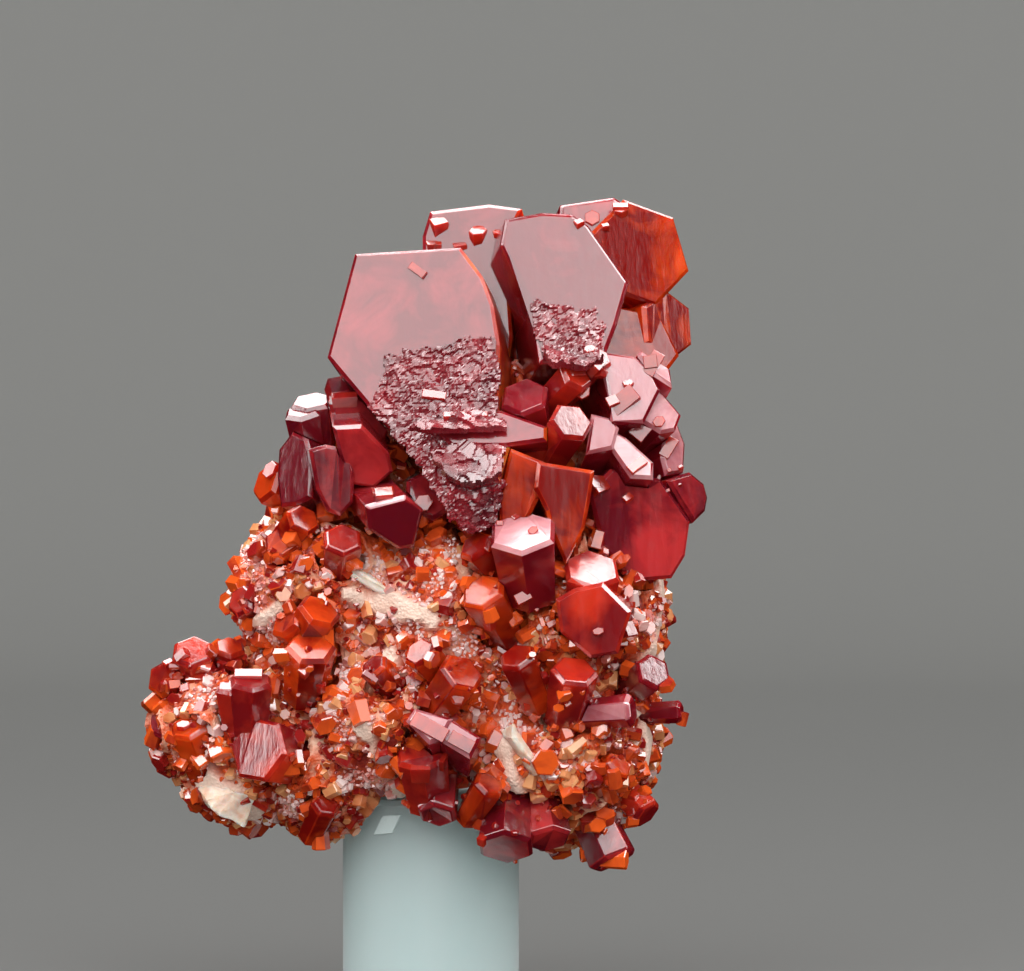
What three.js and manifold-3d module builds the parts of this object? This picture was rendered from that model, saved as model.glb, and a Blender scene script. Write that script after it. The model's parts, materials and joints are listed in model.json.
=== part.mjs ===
// Vanadinite on matrix, a miniature specimen standing on a clear round post.
// Millimetres, +Z up. The origin is the middle of the post's underside, and the specimen's
// best side faces -Y. Most crystals are short hexagonal prisms with a narrow bevel round a
// flat end. The broad ones, which grew into each other, are plates with outlines of their
// own. Each crystal is rooted in the rock that it grew on.
import * as THREE from 'three';
import { mergeVertices } from 'three/addons/utils/BufferGeometryUtils.js';
import Module from 'manifold-3d';

const wasm = await Module();
wasm.setup();

// ---------------------------------------------------------------- driving dimensions
const POST_RADIUS = 6.35; // half-inch acrylic rod
const POST_HEIGHT = 18.4;
const POST_CHAMFER = 0.4;
const POST_SIDES = 36;

const GAP = 0.3; // clearance between neighbouring pieces
const CRYSTAL_SIDES = 6;
const END_BEVEL = 0.22; // narrow pyramid faces round a crystal's flat end
const END_BEVEL_SHARE = 0.2; // the most of a thin crystal's radius that they take
const EDGE_BEVEL = 0.18; // the same on the large plates
const ROOT_NARROWING = 0.8; // a crystal is a little thinner where it is rooted

const ROCK_DETAIL = 2; // icosahedron subdivisions of each lobe of rock
const ROCK_LUMP = 0.07; // relative height of the lumps on a lobe
const LUMP_WAVES = [
  new THREE.Vector3(3.1, 0, 1.7),
  new THREE.Vector3(-2.2, 4.3, 0),
  new THREE.Vector3(0, 3.4, 5.2),
];
const WELD = 1e-4; // vertices closer than this are one
const ROCK_SLIVER = 0.06; // detail smaller than this is cleaned off the rock after its cuts
const CRYSTAL_SLIVER = 0.02; // and off a crystal

const UP = new THREE.Vector3(0, 0, 1);

// ---------------------------------------------------------------- finishes
const FINISH = {
  great: { color: 0xb8606a, roughness: 0.2, metalness: 0 },
  red: { color: 0xa62a30, roughness: 0.25, metalness: 0 },
  ember: { color: 0xc1441c, roughness: 0.25, metalness: 0 },
  wine: { color: 0x7a2a38, roughness: 0.25, metalness: 0 },
  rock: { color: 0xc9805a, roughness: 0.75, metalness: 0 },
  acrylic: { color: 0xaebdbb, roughness: 0.3, metalness: 0 },
};

// ---------------------------------------------------------------- solids and meshes
function solidOf(geometry) {
  const bare = geometry.clone();
  bare.deleteAttribute('normal');
  bare.deleteAttribute('uv');
  const welded = mergeVertices(bare, WELD);
  const corners = Array.from(welded.index.array);
  const kept = [];
  for (let i = 0; i < corners.length; i += 3) {
    const [a, b, c] = corners.slice(i, i + 3);
    if (a !== b && b !== c && c !== a) kept.push(a, b, c);
  }
  const vertProperties = new Float32Array(welded.attributes.position.array);
  const triVerts = new Uint32Array(kept);
  return new wasm.Manifold(new wasm.Mesh({ numProp: 3, vertProperties, triVerts }));
}

function geometryOf(solid) {
  const { vertProperties, triVerts } = solid.getMesh();
  const geometry = new THREE.BufferGeometry();
  geometry.setAttribute('position', new THREE.BufferAttribute(vertProperties, 3));
  geometry.setIndex(new THREE.BufferAttribute(triVerts, 1));
  geometry.computeVertexNormals();
  return geometry;
}

function joined(solids) {
  return solids.reduce((whole, solid) => whole.add(solid));
}

// The biggest of the bodies that a cut leaves; chips that it frees are dropped.
function biggest(solid) {
  return solid.decompose().reduce((best, body) => (body.volume() > best.volume() ? body : best));
}

function boxesMeet(a, b) {
  const [first, second] = [a.boundingBox(), b.boundingBox()];
  return [0, 1, 2].every((i) => first.min[i] < second.max[i] && second.min[i] < first.max[i]);
}

// Turns a shape made round +Z, with its outer end at the origin, to face a direction, and
// moves that end to its place. The turn is about the facing direction, from level.
function plant(geometry, { tip, facing, turn = 0 }) {
  const out = new THREE.Vector3(...facing).normalize();
  const right = new THREE.Vector3().crossVectors(UP, out).normalize();
  const above = new THREE.Vector3().crossVectors(out, right);
  const stand = new THREE.Matrix4().makeBasis(right, above, out).setPosition(...tip);
  geometry.rotateZ(THREE.MathUtils.degToRad(turn));
  return geometry.applyMatrix4(stand);
}

// ---------------------------------------------------------------- crystal habits
// Each habit returns a function of grow: 0 gives the crystal, GAP the room to leave round it.

// A six-sided prism.
function prism({ radius, length, ...place }) {
  return (grow) => {
    const reach = radius + grow;
    const bevel = Math.min(END_BEVEL, radius * END_BEVEL_SHARE);
    const profile = [
      new THREE.Vector2(0, -length - grow),
      new THREE.Vector2(reach * ROOT_NARROWING, -length - grow),
      new THREE.Vector2(reach, -bevel),
      new THREE.Vector2(reach - bevel, grow),
      new THREE.Vector2(0, grow),
    ];
    const geometry = new THREE.LatheGeometry(profile, CRYSTAL_SIDES).rotateX(Math.PI / 2);
    return solidOf(plant(geometry, place));
  };
}

// A plate whose face has its own outline, given as [x, z] points in the upright plane
// through its tip, and which runs back from there by its depth.
function plate({ outline, depth, ...place }) {
  return (grow) => {
    const [centreX, , centreZ] = place.tip;
    const points = outline.map(([x, z]) => new THREE.Vector2(x - centreX, z - centreZ));
    const geometry = new THREE.ExtrudeGeometry(new THREE.Shape(points), {
      depth: depth - 2 * EDGE_BEVEL + 2 * grow,
      bevelThickness: EDGE_BEVEL,
      bevelSize: EDGE_BEVEL,
      bevelOffset: grow - EDGE_BEVEL,
      bevelSegments: 1,
    });
    geometry.translate(0, 0, EDGE_BEVEL - depth - grow);
    return solidOf(plant(geometry, place));
  };
}

// ---------------------------------------------------------------- the crystals
// Grown in this order: a later crystal is cut back where an earlier one is in its way.
// Crystals that run into each other are one solid, as parts of one entry.
const CRYSTALS = [
  {
    name: 'great_left_crystal',
    finish: FINISH.great,
    parts: [
      plate({
        tip: [-0.8, -8.0, 50.0],
        facing: [-0.12, -0.97, 0.2],
        depth: 8.5,
        outline: [
          [-7.1, 49.8], [-4.0, 46.2], [0.1, 42.0], [2.6, 37.6], [5.0, 38.0], [5.3, 43.9],
          [4.9, 46.4], [4.9, 50.6], [4.4, 53.4], [3.6, 55.5], [2.0, 57.6], [-5.4, 57.2],
        ],
      }),
      plate({
        tip: [2.6, -1.6, 54.0],
        facing: [-0.05, -1, 0.1],
        depth: 7,
        outline: [
          [-0.4, 52.0], [2.8, 46.9], [5.3, 47.7], [5.8, 51.4], [5.3, 58.3], [6.4, 60.6],
          [4.2, 60.9], [0, 60.4], [-0.5, 58.7],
        ],
      }),
      plate({
        tip: [5.1, -10.0, 44.6],
        facing: [0, -0.9, 0.3],
        depth: 5,
        outline: [[0.1, 45.0], [5.0, 46.0], [8.2, 44.8], [8.2, 43.9], [5.4, 43.5], [1.7, 43.5]],
      }),
      plate({
        tip: [3.0, -11.2, 42.0],
        facing: [0, -0.85, 0.5],
        depth: 5,
        outline: [[0.6, 43.4], [5.6, 43.6], [4.9, 41.1], [2.9, 40.6], [1.4, 41.3]],
      }),
    ],
  },
  {
    name: 'great_right_crystal',
    finish: FINISH.great,
    parts: [
      plate({
        tip: [9.4, -6.4, 55.0],
        facing: [0.15, -0.95, 0.25],
        depth: 8,
        outline: [
          [5.2, 57.9], [7.2, 53.2], [7.6, 49.2], [12.1, 49.6], [13.1, 52.0], [14.1, 55.1],
          [11.4, 59.3], [10.3, 60.1], [8.2, 60.2], [5.6, 59.7],
        ],
      }),
      plate({
        tip: [11.8, -2.2, 59.4],
        facing: [0.1, -0.95, 0.2],
        depth: 6,
        outline: [[9.2, 57.4], [14.2, 57.4], [14.6, 60.4], [13.2, 61.4], [9.4, 60.8]],
      }),
    ],
  },
  {
    name: 'right_flank_crystals',
    finish: FINISH.ember,
    parts: [
      prism({ tip: [15.0, -3.0, 57.4], facing: [0.38, -0.85, 0.2], radius: 3.9, length: 9, turn: 12 }),
      prism({ tip: [17.0, -2.6, 52.2], facing: [0.62, -0.75, 0.1], radius: 2.5, length: 8 }),
      prism({ tip: [14.6, -4.2, 50.6], facing: [0.25, -0.9, 0.3], radius: 3.2, length: 9, turn: 20 }),
    ],
  },
  {
    name: 'rear_spine_crystals',
    finish: FINISH.red,
    parts: [
      prism({ tip: [5.8, 7.2, 55.6], facing: [0.1, 0.75, 0.6], radius: 4.4, length: 9 }),
      prism({ tip: [11.4, 7.0, 52.6], facing: [0.5, 0.8, 0.35], radius: 3.4, length: 7, turn: 15 }),
      prism({ tip: [-0.6, 6.6, 51.2], facing: [-0.45, 0.8, 0.4], radius: 3.6, length: 7, turn: 8 }),
    ],
  },
  {
    name: 'pink_plates',
    finish: FINISH.great,
    parts: [
      plate({
        tip: [14.1, -7.6, 47.5],
        facing: [0.25, -0.9, 0.3],
        depth: 6,
        outline: [
          [12.1, 50.2], [14.7, 49.9], [15.7, 48.9], [16.3, 47.5], [14.9, 45.1], [12.5, 45.0],
          [12.8, 46.0],
        ],
      }),
      plate({
        tip: [16.3, -6.6, 46.0],
        facing: [0.35, -0.86, 0.35],
        depth: 6,
        outline: [[15.3, 48.5], [16.7, 47.3], [17.8, 45.7], [17.2, 44.6], [16.1, 44.4], [14.6, 45.4]],
      }),
      plate({
        tip: [15.9, -6.4, 49.2],
        facing: [0.35, -0.7, 0.6],
        depth: 5,
        outline: [[15.3, 50.5], [17.0, 48.9], [16.7, 47.4], [15.5, 48.6], [15.0, 50.2]],
      }),
    ],
  },
  {
    name: 'lower_pink_plates',
    finish: FINISH.great,
    parts: [
      plate({
        tip: [12.3, -9.2, 44.4],
        facing: [0.15, -0.9, 0.4],
        depth: 5,
        outline: [[11.6, 45.8], [12.7, 45.5], [13.3, 44.8], [12.8, 43.3], [11.0, 42.9]],
      }),
      plate({
        tip: [14.3, -8.8, 42.7],
        facing: [0.22, -0.92, 0.3],
        depth: 5,
        outline: [[13.2, 44.5], [13.9, 44.1], [15.7, 42.3], [15.6, 41.2], [14.1, 41.3], [12.8, 43.4]],
      }),
    ],
  },
  {
    name: 'pink_oval_crystal',
    finish: FINISH.great,
    parts: [
      plate({
        tip: [17.2, -5.0, 43.4],
        facing: [0.5, -0.83, 0.2],
        depth: 6,
        outline: [
          [17.1, 45.1], [17.9, 45.0], [18.3, 43.7], [17.9, 41.7], [16.5, 41.5], [16.3, 42.7],
          [16.7, 43.9],
        ],
      }),
    ],
  },
  {
    name: 'pale_ended_prism',
    finish: FINISH.red,
    parts: [
      prism({ tip: [10.0, -10.2, 45.2], facing: [0.3, -0.8, 0.5], radius: 1.5, length: 6, turn: 25 }),
    ],
  },
  {
    name: 'white_faced_prisms',
    finish: FINISH.red,
    parts: [
      prism({ tip: [10.4, -9.0, 48.5], facing: [0.5, -0.7, 0.5], radius: 1.2, length: 5.4 }),
      prism({ tip: [12.0, -8.6, 49.7], facing: [0.45, -0.7, 0.55], radius: 0.9, length: 5.4 }),
    ],
  },
  {
    name: 'white_topped_prism',
    finish: FINISH.great,
    parts: [prism({ tip: [6.7, -8.8, 47.0], facing: [-0.15, -0.75, 0.65], radius: 1.7, length: 5.4 })],
  },
  {
    name: 'amber_fans',
    finish: FINISH.ember,
    parts: [
      plate({
        tip: [9.4, -11.4, 39.6],
        facing: [0.12, -0.98, 0.05],
        depth: 4.5,
        outline: [
          [7.5, 40.6], [8.3, 39.0], [8.6, 37.7], [9.6, 35.4], [10.8, 37.8], [11.2, 39.6],
          [11.5, 41.7], [7.7, 42.3],
        ],
      }),
      plate({
        tip: [7.0, -11.0, 40.6],
        facing: [-0.1, -0.98, 0.05],
        depth: 4.5,
        outline: [[5.0, 39.8], [5.1, 38.0], [6.8, 38.2], [7.6, 39.8], [8.0, 42.3], [5.8, 43.2]],
      }),
    ],
  },
  {
    name: 'dark_flank_crystals',
    finish: FINISH.wine,
    parts: [
      plate({
        tip: [15.1, -7.6, 37.8],
        facing: [0.3, -0.95, 0.05],
        depth: 8,
        outline: [
          [11.2, 40.3], [12.8, 41.8], [16.4, 41.1], [18.5, 38.2], [18.1, 35.8], [17.1, 34.3],
          [14.3, 34.1], [12.1, 36.5],
        ],
      }),
      plate({
        tip: [18.8, -5.0, 40.1],
        facing: [0.55, -0.8, 0.15],
        depth: 6,
        outline: [[16.6, 41.1], [18.6, 41.6], [19.7, 40.8], [19.9, 39.9], [19.6, 39.0], [18.5, 38.2]],
      }),
    ],
  },
  {
    name: 'crowned_crystal',
    finish: FINISH.great,
    parts: [
      prism({ tip: [6.6, -12.6, 37.5], facing: [-0.1, -0.58, 0.8], radius: 2.4, length: 5.4, turn: 6 }),
    ],
  },
  {
    name: 'hexagon_plate',
    finish: FINISH.red,
    parts: [
      plate({
        tip: [11.3, -12.8, 31.6],
        facing: [-0.06, -0.99, -0.06],
        depth: 6,
        outline: [
          [9.0, 32.8], [10.2, 33.5], [12.1, 33.9], [14.0, 32.0], [13.1, 29.2], [11.3, 28.9],
          [9.3, 30.6],
        ],
      }),
      prism({ tip: [11.4, -11.2, 34.9], facing: [0.1, -0.65, 0.75], radius: 2.0, length: 4.8 }),
    ],
  },
  {
    name: 'prism_under_ledges',
    finish: FINISH.ember,
    parts: [
      prism({ tip: [3.3, -10.6, 36.6], facing: [-0.5, -0.6, 0.62], radius: 1.3, length: 4.8, turn: 14 }),
    ],
  },
  {
    name: 'amber_prism_centre',
    finish: FINISH.ember,
    parts: [
      prism({ tip: [3.8, -11.4, 33.4], facing: [-0.35, -0.65, 0.67], radius: 1.6, length: 4.8, turn: 20 }),
    ],
  },
  {
    name: 'stacked_wine_plates',
    finish: FINISH.wine,
    parts: [
      plate({
        tip: [-4.6, -8.0, 42.7],
        facing: [0.1, -0.95, -0.3],
        depth: 5,
        outline: [
          [-6.7, 44.9], [-4.8, 45.0], [-2.9, 43.0], [-2.6, 41.7], [-3.8, 40.6], [-5.4, 40.8],
          [-6.2, 42.9],
        ],
      }),
      plate({
        tip: [-5.2, -5.8, 45.7],
        facing: [0.1, -0.97, -0.2],
        depth: 6,
        outline: [
          [-7.0, 46.5], [-6.8, 47.2], [-5.8, 47.4], [-4.4, 46.5], [-2.9, 44.7], [-3.5, 43.3],
          [-6.3, 44.0],
        ],
      }),
    ],
  },
  {
    name: 'upright_wine_crystals',
    finish: FINISH.wine,
    parts: [
      plate({
        tip: [-6.6, -8.4, 41.2],
        facing: [0.15, -0.99, 0.0],
        depth: 6,
        outline: [
          [-8.3, 43.2], [-7.2, 43.5], [-5.7, 43.2], [-5.3, 41.8], [-5.4, 39.6], [-6.2, 38.7],
          [-7.0, 39.0], [-7.8, 40.5],
        ],
      }),
      plate({
        tip: [-9.5, -6.6, 41.8],
        facing: [-0.45, -0.87, 0.2],
        depth: 7,
        outline: [
          [-10.9, 43.3], [-10.0, 44.5], [-8.8, 44.0], [-8.1, 42.5], [-8.0, 39.9], [-9.1, 39.4],
          [-10.3, 39.3], [-10.8, 41.3],
        ],
      }),
    ],
  },
  {
    name: 'white_topped_wine_prisms',
    finish: FINISH.wine,
    parts: [
      prism({ tip: [-8.4, -4.4, 46.7], facing: [-0.1, -0.42, 0.9], radius: 1.5, length: 8 }),
      prism({ tip: [-9.0, -5.2, 46.0], facing: [-0.15, -0.42, 0.9], radius: 1.3, length: 8, turn: 15 }),
    ],
  },
  {
    name: 'flat_wine_crystal',
    finish: FINISH.wine,
    parts: [
      plate({
        tip: [-2.2, -10.2, 38.2],
        facing: [0.25, -0.93, -0.25],
        depth: 6,
        outline: [[-4.4, 39.3], [-1.7, 40.0], [-0.4, 39.0], [-0.9, 36.4], [-1.9, 36.3], [-4.1, 37.7]],
      }),
    ],
  },
  {
    name: 'shadowed_crystal',
    finish: FINISH.wine,
    parts: [prism({ tip: [0.2, -7.4, 40.2], facing: [0.1, -0.9, 0.4], radius: 1.9, length: 4.8 })],
  },
  {
    name: 'left_amber_prisms',
    finish: FINISH.ember,
    parts: [
      prism({ tip: [-8.8, -7.8, 38.4], facing: [0.45, -0.75, 0.5], radius: 1.2, length: 4.8 }),
      prism({ tip: [-10.4, -7.2, 36.8], facing: [-0.2, -0.8, 0.55], radius: 1.3, length: 4.8, turn: 12 }),
    ],
  },
  {
    name: 'left_red_prism',
    finish: FINISH.red,
    parts: [prism({ tip: [-6.0, -9.2, 37.0], facing: [0.1, -0.75, 0.65], radius: 1.4, length: 4.8 })],
  },
  {
    name: 'left_edge_sliver',
    finish: FINISH.ember,
    parts: [prism({ tip: [-11.7, -3.2, 41.0], facing: [-0.75, -0.55, 0.35], radius: 1.5, length: 6 })],
  },
  {
    name: 'lobe_top_crystal',
    finish: FINISH.red,
    parts: [prism({ tip: [-16.8, -5.6, 29.0], facing: [-0.05, -0.7, 0.7], radius: 1.5, length: 4.8 })],
  },
  {
    name: 'lobe_dark_amber_crystal',
    finish: FINISH.ember,
    parts: [prism({ tip: [-14.2, -5.0, 29.3], facing: [0.1, -0.6, 0.8], radius: 1.1, length: 4.8 })],
  },
  {
    name: 'lobe_amber_edge_crystal',
    finish: FINISH.ember,
    parts: [prism({ tip: [-18.9, -4.8, 27.0], facing: [-0.4, -0.88, 0.25], radius: 1.3, length: 4.8 })],
  },
  {
    name: 'lobe_white_topped_block',
    finish: FINISH.red,
    parts: [
      prism({ tip: [-12.4, -9.6, 27.1], facing: [0.05, -0.4, 0.92], radius: 1.5, length: 4.8 }),
      prism({ tip: [-13.8, -9.2, 26.7], facing: [-0.1, -0.4, 0.92], radius: 1.1, length: 5, turn: 12 }),
    ],
  },
  {
    name: 'lobe_large_prism',
    finish: FINISH.red,
    parts: [
      prism({ tip: [-11.9, -10.2, 22.3], facing: [-0.5, -0.84, 0.2], radius: 2.3, length: 5.4, turn: 24 }),
    ],
  },
  {
    name: 'lobe_left_crystal',
    finish: FINISH.great,
    parts: [
      prism({ tip: [-19.0, -4.6, 24.0], facing: [-0.6, -0.72, 0.35], radius: 1.3, length: 4.8, turn: 17 }),
    ],
  },
  {
    name: 'lobe_amber_crystal',
    finish: FINISH.ember,
    parts: [
      prism({ tip: [-16.9, -7.4, 23.8], facing: [-0.2, -0.6, 0.78], radius: 1.4, length: 4.8, turn: 22 }),
    ],
  },
  {
    name: 'shoulder_amber_crystals',
    finish: FINISH.ember,
    parts: [
      prism({ tip: [-8.2, -10.4, 29.5], facing: [0.12, -0.64, 0.76], radius: 1.7, length: 4.8, turn: 30 }),
      prism({ tip: [-7.6, -9.6, 32.0], facing: [0.4, -0.6, 0.7], radius: 1.5, length: 4.8, turn: 12 }),
      prism({ tip: [-10.0, -9.2, 31.2], facing: [-0.55, -0.6, 0.58], radius: 1.2, length: 4.8, turn: 18 }),
    ],
  },
  {
    name: 'twin_pink_prisms',
    finish: FINISH.great,
    parts: [
      plate({
        tip: [0.1, -13.0, 24.1],
        facing: [-0.1, -0.92, 0.38],
        depth: 4,
        outline: [[-1.4, 24.5], [-0.9, 25.3], [1.6, 24.6], [0.9, 23.2], [0.2, 22.9]],
      }),
      plate({
        tip: [2.3, -13.2, 23.3],
        facing: [0.05, -0.92, 0.38],
        depth: 4,
        outline: [[1.6, 24.6], [3.6, 23.3], [2.9, 21.9], [0.9, 23.2]],
      }),
    ],
  },
  {
    name: 'low_rounded_crystal',
    finish: FINISH.red,
    parts: [
      prism({ tip: [-0.4, -11.2, 22.2], facing: [-0.1, -0.62, 0.78], radius: 1.9, length: 4.8, turn: 10 }),
    ],
  },
  {
    name: 'middle_amber_crystals',
    finish: FINISH.ember,
    parts: [
      prism({ tip: [2.4, -12.4, 27.8], facing: [0.45, -0.65, 0.62], radius: 1.6, length: 4.8, turn: 15 }),
      prism({ tip: [-0.6, -12.0, 29.2], facing: [-0.5, -0.66, 0.56], radius: 1.2, length: 4.8, turn: 8 }),
    ],
  },
  {
    name: 'amber_cap_crystal',
    finish: FINISH.ember,
    parts: [
      prism({ tip: [6.2, -12.3, 28.9], facing: [-0.3, -0.6, 0.74], radius: 1.3, length: 4.8, turn: 26 }),
    ],
  },
  {
    name: 'right_rounded_crystal',
    finish: FINISH.red,
    parts: [
      prism({ tip: [10.2, -12.2, 27.9], facing: [0.15, -0.6, 0.79], radius: 1.6, length: 4.8, turn: 20 }),
    ],
  },
  {
    name: 'striped_side_prism',
    finish: FINISH.great,
    parts: [prism({ tip: [14.2, -11.0, 25.1], facing: [0.93, -0.3, 0.1], radius: 1.1, length: 4.5 })],
  },
  {
    name: 'right_edge_block',
    finish: FINISH.great,
    parts: [prism({ tip: [15.8, -8.8, 27.7], facing: [0.4, -0.82, 0.4], radius: 1.3, length: 4.8 })],
  },
  {
    name: 'right_edge_pin',
    finish: FINISH.great,
    parts: [prism({ tip: [17.8, -5.6, 24.7], facing: [0.96, -0.25, 0.05], radius: 0.7, length: 4.8 })],
  },
  {
    name: 'hanging_crystal',
    finish: FINISH.wine,
    parts: [
      prism({ tip: [13.0, -6.4, 14.2], facing: [0.4, -0.3, -0.85], radius: 1.7, length: 5.4, turn: 10 }),
    ],
  },
  {
    name: 'underside_front_crystals',
    finish: FINISH.wine,
    parts: [
      prism({ tip: [5.4, -9.6, 15.4], facing: [-0.05, -0.6, -0.8], radius: 2.0, length: 4.8 }),
      prism({ tip: [8.4, -8.8, 15.9], facing: [0.15, -0.55, -0.8], radius: 1.6, length: 4.8 }),
    ],
  },
  {
    name: 'underside_dark_crystal',
    finish: FINISH.wine,
    parts: [prism({ tip: [0.6, -10.0, 17.7], facing: [-0.1, -0.6, -0.75], radius: 1.4, length: 4 })],
  },
  {
    name: 'underside_right_crystal',
    finish: FINISH.red,
    parts: [prism({ tip: [15.4, -5.4, 17.4], facing: [0.6, -0.45, -0.6], radius: 1.2, length: 4.8 })],
  },
  {
    name: 'back_upper_crystals',
    finish: FINISH.red,
    parts: [
      prism({ tip: [5.0, 12.6, 43.4], facing: [0.05, 0.93, 0.35], radius: 3.2, length: 9, turn: 10 }),
      prism({ tip: [9.4, 11.2, 40.6], facing: [0.4, 0.9, 0.1], radius: 2.4, length: 8 }),
    ],
  },
  {
    name: 'back_left_crystal',
    finish: FINISH.wine,
    parts: [
      prism({ tip: [-5.6, 10.4, 38.6], facing: [-0.4, 0.8, 0.5], radius: 2.6, length: 8, turn: 20 }),
    ],
  },
  {
    name: 'back_right_crystal',
    finish: FINISH.ember,
    parts: [
      prism({ tip: [14.0, 9.6, 33.6], facing: [0.6, 0.75, 0.2], radius: 2.3, length: 8, turn: 5 }),
    ],
  },
  {
    name: 'back_middle_crystals',
    finish: FINISH.red,
    parts: [
      prism({ tip: [2.6, 15.0, 31.0], facing: [0.1, 0.97, 0.15], radius: 2.6, length: 8, turn: 14 }),
      prism({ tip: [-1.0, 14.6, 28.4], facing: [-0.2, 0.95, 0.05], radius: 1.9, length: 5.4 }),
    ],
  },
  {
    name: 'back_low_crystal',
    finish: FINISH.ember,
    parts: [prism({ tip: [6.6, 12.2, 22.0], facing: [0.25, 0.9, -0.25], radius: 2.0, length: 5.4 })],
  },
  {
    name: 'lobe_back_crystal',
    finish: FINISH.red,
    parts: [
      prism({ tip: [-14.6, 7.4, 25.4], facing: [-0.3, 0.85, 0.4], radius: 2.2, length: 5.4, turn: 9 }),
    ],
  },
  {
    name: 'shoulder_edge_crystal',
    finish: FINISH.red,
    parts: [prism({ tip: [-13.4, -5.4, 32.6], facing: [-0.6, -0.7, 0.3], radius: 1.2, length: 4 })],
  },
  {
    name: 'belly_left_crystal',
    finish: FINISH.ember,
    parts: [
      prism({ tip: [-3.8, -11.4, 28.2], facing: [-0.5, -0.6, 0.62], radius: 1.0, length: 4, turn: 28 }),
    ],
  },
  {
    name: 'lobe_low_crystal',
    finish: FINISH.ember,
    parts: [
      prism({ tip: [-7.2, -8.8, 18.4], facing: [0.3, -0.72, 0.62], radius: 1.0, length: 4, turn: 20 }),
    ],
  },
  {
    name: 'belly_low_crystal',
    finish: FINISH.ember,
    parts: [
      prism({ tip: [4.3, -11.0, 20.0], facing: [0.4, -0.65, 0.65], radius: 1.1, length: 4, turn: 25 }),
    ],
  },
  {
    name: 'right_low_crystal',
    finish: FINISH.ember,
    parts: [
      prism({ tip: [13.4, -9.8, 21.2], facing: [0.6, -0.6, 0.52], radius: 1.0, length: 4, turn: 15 }),
    ],
  },
];

// ---------------------------------------------------------------- the rock
// The rock is one lump of rounded lobes, with a fine druse as its skin. Each lobe is an
// ellipsoid, given by its middle and its half sizes.
const ROCK_LOBES = [
  { middle: [-14.6, -1.0, 23.8], half: [6.0, 7.8, 5.6] },
  { middle: [-12.6, -1.0, 20.6], half: [5.9, 7.4, 4.8] },
  { middle: [-7.6, -1.0, 21.4], half: [6.4, 8.6, 6.4] },
  { middle: [-2.2, -1.0, 24.2], half: [9.6, 10.8, 6.8] },
  { middle: [9.1, -0.8, 22.6], half: [7.9, 10.6, 8.0] },
  { middle: [-7.1, -0.6, 33.2], half: [7.5, 8.8, 7.2] },
  { middle: [9.0, 0, 31.8], half: [8.4, 10.8, 8.4] },
  { middle: [1.0, 1.0, 31.0], half: [9.6, 11.6, 9.6] },
  { middle: [6.4, 2.4, 41.6], half: [8.6, 8.0, 9.4] },
  { middle: [-5.2, -0.4, 40.4], half: [5.0, 5.4, 5.6] },
  { middle: [0, 5.4, 29.6], half: [10.0, 8.0, 9.4] },
];

// Low smooth lumps over a direction, between -1 and 1, from the crossed waves.
function lumps(direction, phase) {
  const heights = LUMP_WAVES.map((wave, i) => Math.sin(wave.dot(direction) + (i + 1) * phase));
  return heights.reduce((sum, height) => sum + height) / heights.length;
}

function rockLobe({ middle, half }, index) {
  const geometry = new THREE.IcosahedronGeometry(1, ROCK_DETAIL);
  const position = geometry.attributes.position;
  const direction = new THREE.Vector3();
  for (let i = 0; i < position.count; i += 1) {
    direction.fromBufferAttribute(position, i).normalize();
    direction.multiplyScalar(1 + ROCK_LUMP * lumps(direction, index));
    position.setXYZ(i, direction.x, direction.y, direction.z);
  }
  geometry.scale(...half).translate(...middle);
  return solidOf(geometry);
}

// ---------------------------------------------------------------- the post
function postSolid(grow) {
  const radius = POST_RADIUS + grow;
  const top = POST_HEIGHT + grow;
  const profile = [
    new THREE.Vector2(0, 0),
    new THREE.Vector2(radius - POST_CHAMFER, 0),
    new THREE.Vector2(radius, POST_CHAMFER),
    new THREE.Vector2(radius, top - POST_CHAMFER),
    new THREE.Vector2(radius - POST_CHAMFER, top),
    new THREE.Vector2(0, top),
  ];
  return solidOf(new THREE.LatheGeometry(profile, POST_SIDES).rotateX(Math.PI / 2));
}

// ---------------------------------------------------------------- assembly
const postRoom = postSolid(GAP);
const standing = [];
for (const { name, finish, parts } of CRYSTALS) {
  const room = joined(parts.map((part) => part(GAP)));
  const whole = joined(parts.map((part) => part(0)));
  const inTheWay = [...standing.map((crystal) => crystal.room), postRoom];
  const cut = inTheWay
    .filter((other) => boxesMeet(whole, other))
    .reduce((left, other) => left.subtract(other), whole);
  standing.push({ name, finish, room, solid: biggest(cut).asOriginal().simplify(CRYSTAL_SLIVER) });
}

const rooms = joined([postRoom, ...standing.map((crystal) => crystal.room)]);
const rock = biggest(joined(ROCK_LOBES.map(rockLobe)).subtract(rooms)).asOriginal().simplify(ROCK_SLIVER);

const pieces = [
  { name: 'post', finish: FINISH.acrylic, solid: postSolid(0) },
  { name: 'matrix', finish: FINISH.rock, solid: rock },
  ...standing,
];

const specimen = new THREE.Group();
for (const { name, finish, solid } of pieces) {
  const mesh = new THREE.Mesh(geometryOf(solid), new THREE.MeshStandardMaterial(finish));
  mesh.name = name;
  specimen.add(mesh);
}

export default specimen;
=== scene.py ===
import json
import math
import random

import bmesh
import bpy
from mathutils import Matrix, Vector, noise
from mathutils.bvhtree import BVHTree

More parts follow.
